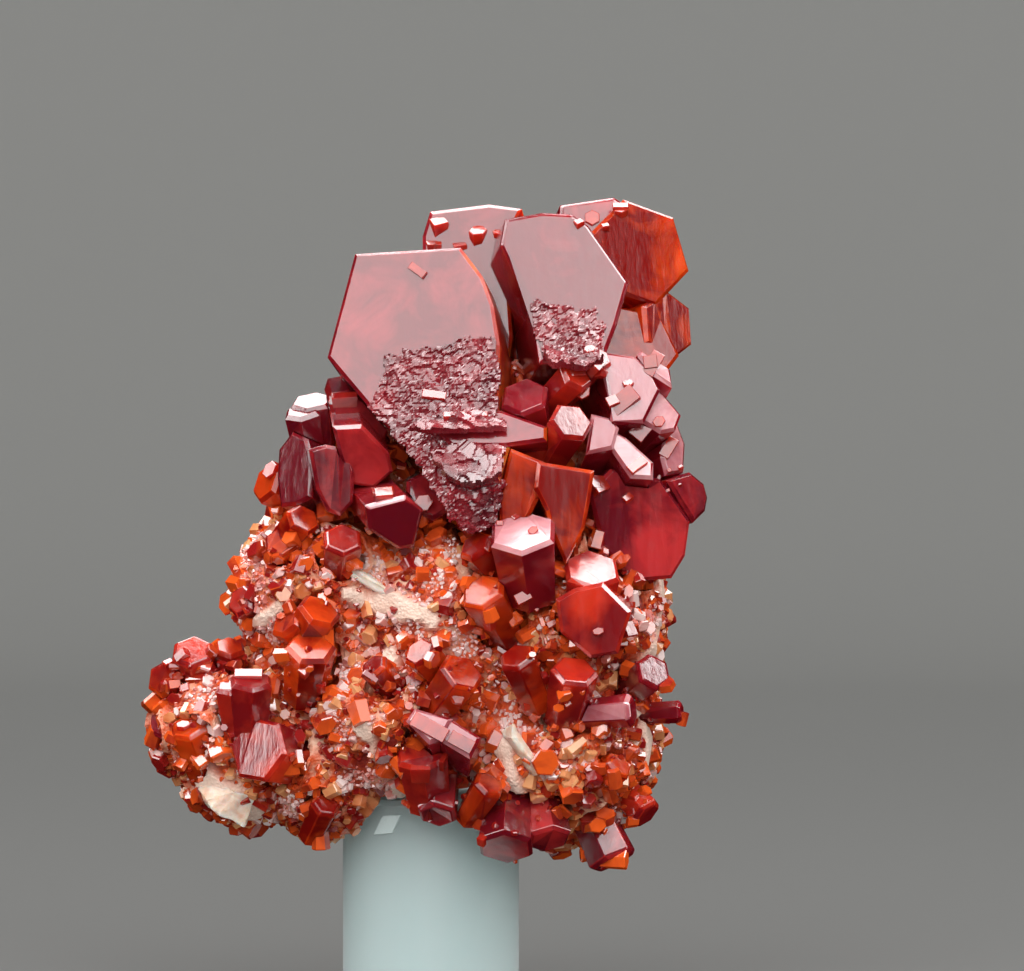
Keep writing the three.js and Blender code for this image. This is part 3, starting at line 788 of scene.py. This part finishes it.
calcite = material("stained calcite")
tree = calcite.node_tree
place = node(tree, "ShaderNodeTexCoord")
stain = node(
    tree,
    "ShaderNodeTexNoise",
    {"Vector": place.outputs["Object"], "Scale": 330.0, "Detail": 5.0, "Roughness": 0.65},
)
stained = node(tree, "ShaderNodeValToRGB", {"Fac": stain.outputs["Fac"]})
ramp = stained.color_ramp
ramp.elements[0].position = 0.36
ramp.elements[0].color = (0.22, 0.012, 0.006, 1)
ramp.elements[1].position = 0.66
ramp.elements[1].color = (0.78, 0.48, 0.34, 1)
middle = ramp.elements.new(0.5)
middle.color = (0.62, 0.085, 0.018, 1)
grains = node(
    tree, "ShaderNodeTexVoronoi", {"Vector": place.outputs["Object"], "Scale": 5200.0}
)
bump = node(
    tree,
    "ShaderNodeBump",
    {"Height": grains.outputs["Distance"], "Strength": 0.6, "Distance": 0.0001},
)
bared = node(tree, "ShaderNodeAttribute", attribute_name="bare")
cloudy = node(
    tree,
    "ShaderNodeMix",
    {"Factor": stain.outputs["Fac"], "A": (0.70, 0.36, 0.24, 1), "B": (0.93, 0.82, 0.72, 1)},
    data_type="RGBA",
)
tint = node(
    tree,
    "ShaderNodeMix",
    {"Factor": bared.outputs["Fac"], "A": stained.outputs["Color"], "B": cloudy.outputs[2]},
    data_type="RGBA",
)
surfaced(tree, {"Base Color": tint.outputs[2], "Roughness": 0.4, "Normal": bump.outputs[0]})
mesh.materials.append(calcite)


# ---------------------------------------------------------------- druse
# Thousands of small vanadinite crystals that cover the rock, red, honey-coloured and pale. Some pale
# ones scattered through the red are painted glints: pale colour in place of white highlights.
# They are six-sided prisms that stand at all angles, with the small ones between the larger.
def input_of(group, label, kind, value=None):
    socket = group.interface.new_socket(label, in_out="INPUT", socket_type=kind)
    if value is not None:
        socket.default_value = value
    return socket


PATCH_SCALE = 200.0
FEW_LARGE = 2.2  # the power that leaves most crystals small


def druse_tree():
    group = bpy.data.node_groups.new("druse", "GeometryNodeTree")
    group.interface.new_socket("Geometry", in_out="INPUT", socket_type="NodeSocketGeometry")
    input_of(group, "Spacing", "NodeSocketFloat", 0.8 * MM)
    input_of(group, "Density", "NodeSocketFloat", 2e6)
    input_of(group, "Smallest", "NodeSocketFloat", 0.25 * MM)
    input_of(group, "Largest", "NodeSocketFloat", 0.5 * MM)
    input_of(group, "Lean", "NodeSocketFloat", 0.9)
    input_of(group, "Seeds", "NodeSocketCollection")
    input_of(group, "Seed", "NodeSocketInt", 1)
    input_of(group, "Where", "NodeSocketString", "growth")
    input_of(group, "Finish", "NodeSocketMaterial")
    group.interface.new_socket("Geometry", in_out="OUTPUT", socket_type="NodeSocketGeometry")
    given = node(group, "NodeGroupInput")
    where = node(
        group, "GeometryNodeInputNamedAttribute", {"Name": given.outputs["Where"]}, data_type="FLOAT"
    )
    scattered = node(
        group,
        "GeometryNodeDistributePointsOnFaces",
        {
            "Mesh": given.outputs["Geometry"],
            "Distance Min": given.outputs["Spacing"],
            "Density Max": given.outputs["Density"],
            "Density Factor": where.outputs[0],
            "Seed": given.outputs["Seed"],
        },
        distribute_method="POISSON",
    )
    shapes = node(
        group,
        "GeometryNodeCollectionInfo",
        {"Collection": given.outputs["Seeds"], "Separate Children": True, "Reset Children": True},
    )
    lean = node(
        group,
        "FunctionNodeRandomValue",
        {"Seed": given.outputs["Seed"]},
        data_type="FLOAT_VECTOR",
    )
    least = node(group, "ShaderNodeMath", {0: 0.0, 1: given.outputs["Lean"]}, operation="SUBTRACT")
    low_lean = node(group, "ShaderNodeCombineXYZ", {"X": least.outputs[0], "Y": least.outputs[0]})
    high_lean = node(
        group,
        "ShaderNodeCombineXYZ",
        {"X": given.outputs["Lean"], "Y": given.outputs["Lean"], "Z": 1.05},
    )
    group.links.new(low_lean.outputs[0], lean.inputs[0])
    group.links.new(high_lean.outputs[0], lean.inputs[1])
    leaning = node(
        group,
        "FunctionNodeRotateRotation",
        {"Rotation": scattered.outputs["Rotation"], "Rotate By": lean.outputs[0]},
        rotation_space="LOCAL",
    )
    chance = node(
        group, "FunctionNodeRandomValue", {"Seed": given.outputs["Seed"]}, data_type="FLOAT"
    )
    few_large = node(
        group, "ShaderNodeMath", {0: chance.outputs[1], 1: FEW_LARGE}, operation="POWER"
    )
    size = node(
        group,
        "ShaderNodeMapRange",
        {"Value": few_large.outputs[0], "To Min": given.outputs["Smallest"],
         "To Max": given.outputs["Largest"]},
    )
    which = node(
        group,
        "FunctionNodeRandomValue",
        {4: 0, 5: 99, "Seed": given.outputs["Seed"]},
        data_type="INT",
    )
    grown = node(
        group,
        "GeometryNodeInstanceOnPoints",
        {
            "Points": scattered.outputs["Points"],
            "Instance": shapes.outputs[0],
            "Pick Instance": True,
            "Instance Index": which.outputs[2],
            "Rotation": leaning.outputs[0],
            "Scale": size.outputs[0],
        },
    )
    tone = node(
        group,
        "FunctionNodeRandomValue",
        {2: -0.5, 3: 0.5, "Seed": given.outputs["Seed"]},
        data_type="FLOAT",
    )
    patches = node(group, "ShaderNodeTexNoise", {"Scale": PATCH_SCALE, "Detail": 1.0})
    patch_tone = node(
        group,
        "ShaderNodeMapRange",
        {"Value": patches.outputs["Fac"], "From Min": 0.32, "From Max": 0.68, "To Min": -0.6,
         "To Max": 0.4},
    )
    whole_tone = node(
        group, "ShaderNodeMath", {0: tone.outputs[1], 1: patch_tone.outputs[0]}, operation="ADD"
    )
    toned = node(
        group,
        "GeometryNodeStoreNamedAttribute",
        {"Geometry": grown.outputs[0], "Name": "tone", "Value": whole_tone.outputs[0]},
        data_type="FLOAT",
        domain="INSTANCE",
    )
    real = node(group, "GeometryNodeRealizeInstances", {"Geometry": toned.outputs[0]})
    # A random tone for each face: painted light and shade that differ from facet to facet.
    painted_facet_shade = node(
        group,
        "FunctionNodeRandomValue",
        {2: -0.45, 3: 0.45, "Seed": given.outputs["Seed"]},
        data_type="FLOAT",
    )
    faceted = node(
        group,
        "GeometryNodeStoreNamedAttribute",
        {"Geometry": real.outputs[0], "Name": "facet", "Value": painted_facet_shade.outputs[1]},
        data_type="FLOAT",
        domain="FACE",
    )
    flat = node(
        group,
        "GeometryNodeSetShadeSmooth",
        {"Geometry": faceted.outputs[0], "Shade Smooth": False},
    )
    painted = node(
        group,
        "GeometryNodeSetMaterial",
        {"Geometry": flat.outputs[0], "Material": given.outputs["Finish"]},
    )
    node(group, "NodeGroupOutput", {0: painted.outputs[0]})
    return group


druse_maker = druse_tree()

# The shapes that small crystals take: how long, how flattened, and the width of the bevel
# round the end, for a crystal of radius 1. Each stands with its middle near the ground.
SEED_SHAPES = [(1.9, 1.0, 0.12), (1.3, 0.8, 0.16), (0.9, 1.0, 0.2), (2.4, 0.75, 0.1), (1.5, 0.6, 0.14)]
ROOT_SHARE = 0.85


def prism(radius, length, bevel, sides=6, squash=1.0):
    """A crystal round +Z with its end at the origin, and a narrow bevel round that end."""
    return turned(
        [(radius * ROOT_SHARE, -length), (radius, -bevel), (radius - bevel, 0)],
        sides,
        squash,
        first_angle=math.pi / sides,
    )


seeds = bpy.data.collections.new("seed crystals")
bpy.context.scene.collection.children.link(seeds)
for length, squash, bevel in SEED_SHAPES:
    form = prism(1.0, length, bevel, squash=squash)
    form.transform(Matrix.Translation((0, 0, length * 0.5)))
    seeds.objects.link(bpy.data.objects.new("seed_crystal", mesh_of("seed_crystal", form)))


def grow_druse(name, ground, finish, spacing, density, smallest, largest, lean, seed, where):
    """Grows one crop of small crystals on its ground, as a plain mesh."""
    bed = mesh_object(name, ground.copy())
    modifier = bed.modifiers.new("druse", "NODES")
    modifier.node_group = druse_maker
    labels = {
        item.name: item.identifier
        for item in druse_maker.interface.items_tree
        if item.in_out == "INPUT" and item.name != "Geometry"
    }
    sizes = {
        "Spacing": spacing * MM, "Density": density, "Smallest": smallest * MM,
        "Largest": largest * MM, "Lean": lean, "Seed": seed, "Where": where,
    }
    for label, value in {**sizes, "Seeds": seeds, "Finish": finish}.items():
        modifier[labels[label]] = value
    bpy.context.view_layer.update()
    evaluated = bed.evaluated_get(bpy.context.evaluated_depsgraph_get())
    mesh = bpy.data.meshes.new_from_object(evaluated)
    bed.modifiers.clear()
    bed.data = mesh
    mesh.materials.clear()
    mesh.materials.append(finish)
    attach(bed, "root")


small_vanadinite = vanadinite(
    "small vanadinite", (0.34, 0.012, 0.011), (1.0, 0.13, 0.018), 0.2,
    polish=0.03, glow=0.0, relief=0.05,
)
honey_vanadinite = vanadinite(
    "honey vanadinite", (0.62, 0.12, 0.030), (1.0, 0.46, 0.20), 0.2,
    polish=0.04, glow=0.0, relief=0.05,
)
# Pale crystals: the sugary patches, and painted glints where they are scattered through the red druse.
pale_and_glint_vanadinite = vanadinite(
    "pale and glint vanadinite", (0.72, 0.20, 0.16), (0.97, 0.76, 0.72), 0.1,
    polish=0.08, glow=0.0, relief=0.05,
)

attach(rock, "root")
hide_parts("matrix")

DRUSE_CROPS = [
    # name, finish, spacing, most to a square metre, smallest, largest, lean, seed, where
    ("fine_druse", small_vanadinite, 0.46, 8e6, 0.16, 0.42, 1.1, 3, "growth"),
    ("middle_druse", small_vanadinite, 1.0, 2e6, 0.36, 0.9, 1.1, 11, "growth"),
    ("coarse_druse", small_vanadinite, 2.8, 3e5, 0.7, 1.3, 1.0, 23, "growth"),
    ("sugary_druse", pale_and_glint_vanadinite, 0.26, 3e7, 0.12, 0.26, 1.3, 31, "sugar"),
    # Pale crystals scattered through the red druse: painted glints, pale colour in place of white
    # highlights.
    ("frosted_druse", pale_and_glint_vanadinite, 0.6, 1.4e6, 0.2, 0.55, 1.3, 67, "growth"),
    ("honey_druse", honey_vanadinite, 0.6, 1.7e6, 0.22, 0.7, 1.2, 83, "growth"),
]
for name, finish, *sizes in DRUSE_CROPS:
    grow_druse(name, rock.data, finish, *sizes)

# The druse also climbs the feet of the crystals that stand in it, and a few of its crystals
# sit higher up, but not on the crystals whose faces are clean.
CLIMB_TOP = 44 * MM
CLIMB_REACH = 1.0 * MM
CLIMB_RAGGED = 0.8
CLIMB_WAVE = 1.1 * MM
CLIMB_EDGE = 0.45 * MM
PERCHED_TOP = 35 * MM
PERCHED_SHARE = 0.12
CLEAN_FACED = [
    "twin_pink_prisms", "hexagon_plate", "crowned_crystal", "lobe_white_topped_block",
    "striped_side_prism", "lobe_large_prism",
]
ON_FACE = 0.02 * MM

rock_surface = surfaces_of([rock.data])
clean_surfaces = surfaces_of([crystals[name].data for name in CLEAN_FACED])
feet_form = bmesh.new()
for name, crystal in crystals.items():
    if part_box(name)[0].z < CLIMB_TOP:
        feet_form.from_mesh(crystal.data)
refined(feet_form, CLIMB_EDGE)
climb = []
for vertex in feet_form.verts:
    away = rock_surface.find_nearest(vertex.co)[3]
    reach = CLIMB_REACH * (1 + CLIMB_RAGGED * noise.noise(vertex.co / CLIMB_WAVE))
    clean = clean_surfaces.find_nearest(vertex.co, ON_FACE)[0] is not None
    perched = PERCHED_SHARE if vertex.co.z < PERCHED_TOP and not clean else 0.0
    climb.append(1.0 if away < reach and vertex.co.z < CLIMB_TOP else perched)
feet = mesh_of("crystal_feet", feet_form)
for own in ("tone", "facet"):
    feet.attributes.remove(feet.attributes[own])
set_number(feet, "growth", climb)
grow_druse("climbing_druse", feet, small_vanadinite, 0.6, 4e6, 0.2, 0.8, 1.1, 47, "growth")

for seed in list(seeds.objects):
    bpy.data.objects.remove(seed)
bpy.data.collections.remove(seeds)


# ---------------------------------------------------------------- bare calcite
# Where the druse has flaked off, the calcite shows as smooth cream ledges, blades and a
# broken knob. Each is a flattened lump, a little worn, bedded in the rock.
BARE_CALCITE = [
    # name, across and up, half sizes, turn about the view in degrees
    ("calcite_ledge", (-3.9, 33.9), (2.8, 1.2, 0.42), 31),
    ("calcite_chip", (-14.5, 18.5), (2.0, 1.4, 1.2), 20),
    ("calcite_blade", (6.6, 22.2), (0.5, 1.1, 1.9), -34),
]
BEDDED = 0.3 * MM
CLEAVAGES = 9
CLEAVED_AT = (0.75, 1.05)  # from the middle, for a half size of 1
WORN = 0.16 * MM
WORN_SIZE = 0.7 * MM

cream = material("cream calcite")
tree = cream.node_tree
place = node(tree, "ShaderNodeTexCoord")
veins = node(
    tree,
    "ShaderNodeTexNoise",
    {"Vector": place.outputs["Object"], "Scale": 420.0, "Detail": 5.0, "Distortion": 1.2},
)
tint = node(tree, "ShaderNodeValToRGB", {"Fac": veins.outputs["Fac"]})
tint.color_ramp.elements[0].position = 0.35
tint.color_ramp.elements[0].color = (0.72, 0.40, 0.26, 1)
tint.color_ramp.elements[1].position = 0.58
tint.color_ramp.elements[1].color = (0.93, 0.81, 0.70, 1)
grain = node(tree, "ShaderNodeTexNoise", {"Vector": place.outputs["Object"], "Scale": 2400.0})
bump = node(
    tree, "ShaderNodeBump", {"Height": grain.outputs["Fac"], "Strength": 0.7, "Distance": 0.00016}
)
surfaced(
    tree,
    {
        "Base Color": tint.outputs["Color"],
        "Roughness": 0.38,
        "Subsurface Weight": 0.6,
        "Subsurface Radius": (1.0, 0.6, 0.4),
        "Subsurface Scale": 0.0012,
        "Normal": bump.outputs[0],
    },
)


def cleaved(half, seed):
    """A block broken along planes: a box with its corners split off at random."""
    chance = random.Random(seed)
    form = bmesh.new()
    bmesh.ops.create_cube(form, size=2)
    for _ in range(CLEAVAGES):
        way = Vector([chance.uniform(-1, 1) for _ in range(3)]).normalized()
        cut = bmesh.ops.bisect_plane(
            form,
            geom=form.verts[:] + form.edges[:] + form.faces[:],
            plane_co=way * chance.uniform(*CLEAVED_AT),
            plane_no=way,
            clear_outer=True,
        )
        rim = [edge for edge in cut["geom_cut"] if isinstance(edge, bmesh.types.BMEdge)]
        if rim:
            bmesh.ops.contextual_create(form, geom=rim)
    bmesh.ops.triangulate(form, faces=form.faces)
    bmesh.ops.subdivide_edges(form, edges=form.edges, cuts=5, use_grid_fill=True)
    bmesh.ops.recalc_face_normals(form, faces=form.faces)
    form.normal_update()
    for vertex in form.verts:
        body = Vector([part * size * MM for part, size in zip(vertex.co, half)])
        body += vertex.normal * WORN * noise.fractal(body / WORN_SIZE, 1.0, 2.0, 3)
        vertex.co = body
    return form


for seed, (name, (across, up), half, turn) in enumerate(BARE_CALCITE):
    ground = shown_at(rock_surface, across, up)
    form = cleaved(half, seed)
    spin = Matrix.Rotation(math.radians(turn), 4, "Y")
    form.transform(Matrix.Translation(ground + Vector((0, BEDDED, 0))) @ spin)
    mesh = mesh_of(name, form)
    mesh.shade_smooth()
    mesh.set_sharp_from_angle(angle=math.radians(35))
    mesh.materials.append(cream)
    lump = mesh_object(name, mesh)
    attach(lump, "root")


# ---------------------------------------------------------------- etched crusts
# The lower parts of the two great crystals are eaten away into small bright facets and
# ragged ledges. Each crust is a thin closed skin over that part of its crystal.
CRUST_PITCH = 0.13 * MM
CRUST_DEPTH = 0.35 * MM
RAGGED_SEED = 5
BROADER = 3.2  # the large facets, against the small ones that lie on them
RAGGED_WAVE = 1.7
RAGGED_BY = 0.35
CRUSTS = [
    # name, tip, facing, facet size, facet tilt, lift, outline across and up
    ("etched_zone_left", (-0.8, -8.0, 50.0), (-0.12, -0.97, 0.2), 0.36, 0.25, 0.26,
     [(-4.2, 46.0), (-3.3, 48.4), (-3.1, 49.7), (-1.9, 50.1), (1.7, 50.6), (2.0, 51.1),
      (4.7, 51.1), (5.0, 49.0), (5.0, 45.0), (5.0, 41.0), (3.6, 38.4), (1.6, 38.6),
      (0.0, 41.6), (-2.2, 44.2)]),
    ("etched_zone_right", (9.4, -6.4, 55.0), (0.15, -0.95, 0.25), 0.36, 0.25, 0.26,
     [(6.9, 53.6), (9.0, 53.5), (10.2, 53.0), (11.7, 53.1), (12.3, 51.5), (12.0, 49.6),
      (8.0, 49.4), (7.3, 51.2)]),
    ("first_ledge", (2.4, -10.5, 45.2), (0.0, -0.63, 0.78), 0.8, 0.2, 0.1,
     [(-1.4, 45.0), (0.6, 45.9), (3.4, 46.0), (5.3, 45.8), (5.5, 44.7), (2.6, 44.3), (-0.4, 44.3)]),
    ("silver_ledge", (3.0, -11.5, 42.0), (0.0, -0.84, 0.54), 0.9, 0.2, 0.25,
     [(0.2, 43.2), (2.4, 43.9), (5.4, 43.7), (5.2, 41.6), (4.4, 40.9), (2.6, 40.5), (1.2, 41.2)]),
    ("dark_skin", (3.4, -11.2, 39.4), (0.1, -0.99, -0.1), 0.45, 0.35, 0.1,
     [(1.2, 40.9), (5.2, 41.2), (5.4, 39.6), (4.6, 38.0), (3.0, 37.4), (1.6, 38.4)]),
    ("crumbly_ledge", (10.2, -9.4, 49.7), (0.0, -0.63, 0.78), 0.5, 0.3, 0.2,
     [(8.1, 50.6), (9.8, 50.9), (12.0, 50.7), (12.2, 49.4), (10.6, 48.6), (8.6, 49.0)]),
]


def inside(point, outline):
    """Whether a point is inside an outline, from how many of its edges lie to the right."""
    hits = False
    for (x0, y0), (x1, y1) in zip(outline, outline[1:] + outline[:1]):
        if (y0 > point[1]) != (y1 > point[1]):
            cross = x0 + (point[1] - y0) / (y1 - y0) * (x1 - x0)
            hits ^= point[0] < cross
    return hits


def facet_height(across, up, size, tilt, key):
    """Small flat facets, each with a tilt and a level of its own."""
    place = Vector((across / size, up / size, key))
    middle = noise.voronoi(place)[1][0]
    lean = noise.cell_vector(middle * 7.3)
    level = noise.cell(middle * 3.1)
    return tilt * size * (
        (lean.x - 0.5) * (place.x - middle.x) * 2 + (lean.y - 0.5) * (place.y - middle.y) * 2
        + 0.5 * level
    )


def crust(name, tip, facing, size, tilt, lift, outline, key, finish):
    """One closed skin on a flat face, faceted on top, with a ragged outline."""
    out_way = Vector(facing).normalized()
    right = Vector((0, 0, 1)).cross(out_way).normalized()
    above = out_way.cross(right)
    pitch = CRUST_PITCH / MM
    flat = [(x - tip[0], z - tip[2]) for x, z in outline]
    low = (min(x for x, _ in flat), min(z for _, z in flat))
    high = (max(x for x, _ in flat), max(z for _, z in flat))
    columns = int((high[0] - low[0]) / pitch) + 2
    rows = int((high[1] - low[1]) / pitch) + 2
    form = bmesh.new()
    corners = {}

    def corner(i, j):
        if (i, j) not in corners:
            across, up = low[0] + i * pitch, low[1] + j * pitch
            rise = lift + facet_height(across, up, size, tilt, key)
            rise += facet_height(across, up, size * BROADER, tilt * 0.5, key + 5)
            base = Vector(tip) + right * across + above * up
            top = form.verts.new((base + out_way * rise) * MM)
            under = form.verts.new((base - out_way * CRUST_DEPTH / MM) * MM)
            corners[i, j] = (top, under)
        return corners[i, j]

    cells = set()
    for i in range(columns):
        for j in range(rows):
            across, up = low[0] + (i + 0.5) * pitch, low[1] + (j + 0.5) * pitch
            shift = noise.noise_vector(Vector((across, up, key)) * RAGGED_WAVE) * RAGGED_BY
            if inside((across + shift.x, up + shift.y), flat):
                cells.add((i, j))
    for i, j in sorted(cells):
        ring = [corner(i, j), corner(i + 1, j), corner(i + 1, j + 1), corner(i, j + 1)]
        form.faces.new([top for top, _ in ring])
        form.faces.new([under for _, under in reversed(ring)])
        sides = [(i, j - 1), (i + 1, j), (i, j + 1), (i - 1, j)]
        for k, beyond in enumerate(sides):
            if beyond not in cells:
                (top_a, low_a), (top_b, low_b) = ring[k], ring[(k + 1) % 4]
                form.faces.new((top_b, top_a, low_a, low_b))
    mesh = mesh_of(name, form)
    set_number(mesh, "tone", [0.0] * len(mesh.vertices))
    mesh.materials.append(finish)
    piece = mesh_object(name, mesh)
    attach(piece, "root")


etched = vanadinite(
    "etched vanadinite", (0.09, 0.002, 0.007), (0.36, 0.010, 0.020), 0.1,
    polish=0.19, glow=0.0, relief=0.1,
)
noise.seed_set(RAGGED_SEED)
for key, (name, tip, facing, size, tilt, lift, outline) in enumerate(CRUSTS):
    crust(name, tip, facing, size, tilt, lift, outline, key * 10, etched)


# ---------------------------------------------------------------- seated crystals
# Single small crystals that sit on the larger ones and in the druse, most of them turned so
# that their flat ends catch a light. They are blocky prisms of four or six sides, and some
# are long and flat-topped.
WAYS = {
    "up": (0.0, -0.62, 0.78),
    "high": (0.0, -0.86, 0.50),
    "right": (0.67, -0.69, 0.28),
    "left": (-0.57, -0.79, 0.22),
    "upper right": (0.46, -0.74, 0.49),
    "upper left": (-0.45, -0.72, 0.53),
    "front": (0.03, -0.97, 0.24),
    "face": (-0.12, -0.97, 0.20),
}
SEATED = [
    # across, up, way, radius
    (0.6, 59.4, "up", 0.8), (3.4, 58.7, "up", 0.7), (4.9, 58.9, "up", 0.5),
    (11.6, 59.9, "front", 0.6), (15.6, 49.4, "front", 0.7),
    (12.9, 46.6, "high", 0.6), (14.0, 47.9, "up", 0.45), (16.2, 45.2, "front", 0.5),
    (-1.95, 42.7, "up", 0.6), (-3.1, 39.9, "up", 0.9), (-5.0, 38.5, "left", 0.8),
    (-0.4, 39.4, "front", 0.75), (-11.2, 41.8, "left", 0.7), (5.0, 38.1, "front", 0.35),
    (6.1, 38.5, "up", 0.35), (7.3, 37.6, "front", 0.4), (11.7, 40.8, "upper right", 0.75),
    (14.0, 39.8, "high", 0.5), (17.0, 41.8, "front", 0.25), (17.8, 42.0, "up", 0.3),
    (18.7, 41.5, "front", 0.25), (19.3, 41.2, "up", 0.2), (16.3, 41.3, "front", 0.25),
    (0.1, 58.1, "up", 0.5), (10.6, 59.3, "up", 0.45), (12.5, 59.1, "up", 0.4),
    (13.6, 60.4, "up", 0.6), (10.1, 49.6, "upper right", 0.6), (11.3, 50.2, "up", 0.5),
    (12.0, 48.7, "left", 0.5), (10.8, 47.3, "front", 0.6), (6.6, 32.9, "front", 0.8),
    (15.2, 31.3, "up", 0.75), (16.5, 32.5, "right", 0.4), (4.3, 31.3, "up", 0.55),
    (5.2, 27.3, "up", 0.3), (8.0, 27.4, "upper left", 0.5), (6.9, 25.4, "up", 0.35),
    (11.8, 30.6, "front", 0.45), (12.5, 27.1, "left", 0.45), (11.5, 25.6, "up", 0.35),
    (9.7, 25.6, "front", 0.35), (13.4, 19.8, "front", 0.6), (10.5, 19.5, "up", 0.5),
    (11.2, 18.7, "high", 0.6), (14.8, 20.7, "right", 0.5), (14.5, 18.7, "up", 0.45),
    (13.0, 17.9, "front", 0.35), (14.3, 17.6, "left", 0.4), (11.3, 17.1, "up", 0.8),
    (-1.0, 27.1, "front", 0.7), (0.4, 34.7, "up", 0.35), (1.3, 24.8, "up", 0.4),
    (3.8, 16.1, "up", 0.5), (-6.6, 32.5, "up", 0.6), (-5.0, 31.1, "up", 0.45),
    (-5.1, 32.4, "high", 0.25), (-2.4, 32.1, "up", 0.35), (-7.5, 26.7, "up", 0.4),
    (-3.8, 27.4, "front", 0.35), (-17.5, 28.7, "left", 0.7), (-14.6, 28.0, "up", 0.55),
    (-13.0, 29.6, "up", 0.5), (-18.6, 28.1, "up", 0.5), (-17.3, 26.4, "left", 0.6),
    (-16.0, 25.1, "left", 0.7), (-14.6, 24.3, "front", 0.7), (-17.3, 23.7, "up", 0.55),
    (-9.5, 21.9, "up", 0.35), (-8.9, 20.6, "left", 0.35), (-7.2, 22.2, "up", 0.4),
    (-9.1, 18.1, "up", 0.35), (-13.0, 18.6, "upper left", 0.5), (-11.2, 18.7, "up", 0.45),
    (-8.6, 27.8, "high", 0.5),
]

# Long flat-topped ones: across, up, way, radius, flattening, turn.
BARS = [
    (7.6, 43.0, "up", 1.5, 0.22, 4), (-3.2, 40.2, "up", 1.1, 0.45, 10),
    (-0.5, 21.0, "up", 1.0, 0.3, 0), (1.1, 21.7, "up", 0.7, 0.35, 70),
    (0.4, 47.0, "high", 1.2, 0.35, -8), (-0.8, 55.9, "face", 0.95, 0.42, -36),
    (0.3, 58.0, "up", 0.7, 0.4, 0), (2.1, 57.9, "up", 0.7, 0.5, 12),
    (-12.6, 27.4, "up", 1.4, 0.4, 0), (2.6, 45.4, "up", 2.2, 0.16, 2),
    (12.0, 40.7, "upper right", 0.9, 0.8, 20), (13.6, 60.6, "up", 0.8, 0.5, 0),
    (-6.0, 46.9, "up", 1.3, 0.35, 6), (10.9, 50.0, "right", 0.8, 0.5, 50),
    (11.9, 49.2, "upper right", 0.9, 0.5, 40), (10.2, 48.9, "front", 1.1, 0.75, 8),
    (15.8, 49.3, "front", 1.3, 0.5, 60), (13.7, 46.7, "face", 1.5, 0.6, 40),
    (15.1, 44.8, "front", 1.4, 0.6, 50), (17.0, 43.4, "face", 1.1, 0.5, 60),
    (14.6, 42.1, "high", 1.0, 0.5, 40), (0.2, 24.0, "face", 1.9, 0.38, -28),
    (2.4, 23.0, "face", 1.3, 0.5, -28),
]
BAR_SHARE = 0.14
STANDS_OUT = (0.3, 0.75)  # least and most, for a radius of 1
FLATTENED = (0.6, 1.0)
SEAT_BEVEL = 0.06 * MM

standing = surfaces_of([piece.data for piece in [rock, *crystals.values()]])

habit = random.Random(19)
placed = []
for across, up, way, radius in SEATED:
    stand_out = radius * habit.uniform(*STANDS_OUT)
    shape = (habit.choice((4, 6)), habit.uniform(*FLATTENED), habit.uniform(0, 60))
    placed.append((across, up, way, radius, stand_out, shape))
for across, up, way, radius, squash, turn in BARS:
    placed.append((across, up, way, radius, BAR_SHARE * (1 + radius), (4, squash, turn)))

seated_form = bmesh.new()
for across, up, way, radius, stand_out, (sides, squash, turn) in placed:
    found = shown_at(standing, across, up)
    facing = Vector(WAYS[way]).normalized()
    form = prism(radius * MM, (stand_out + radius) * MM, SEAT_BEVEL, sides, squash)
    form.transform(stood(found + facing * stand_out * MM, facing, turn))
    single = mesh_of("single", form)
    seated_form.from_mesh(single)
    bpy.data.meshes.remove(single)
mesh = mesh_of("seated_crystals", seated_form)
set_number(mesh, "tone", [0.0] * len(mesh.vertices))
mesh.materials.append(CRYSTAL_FINISH["red_vanadinite"])
seated = mesh_object("seated_crystals", mesh)
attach(seated, "root")
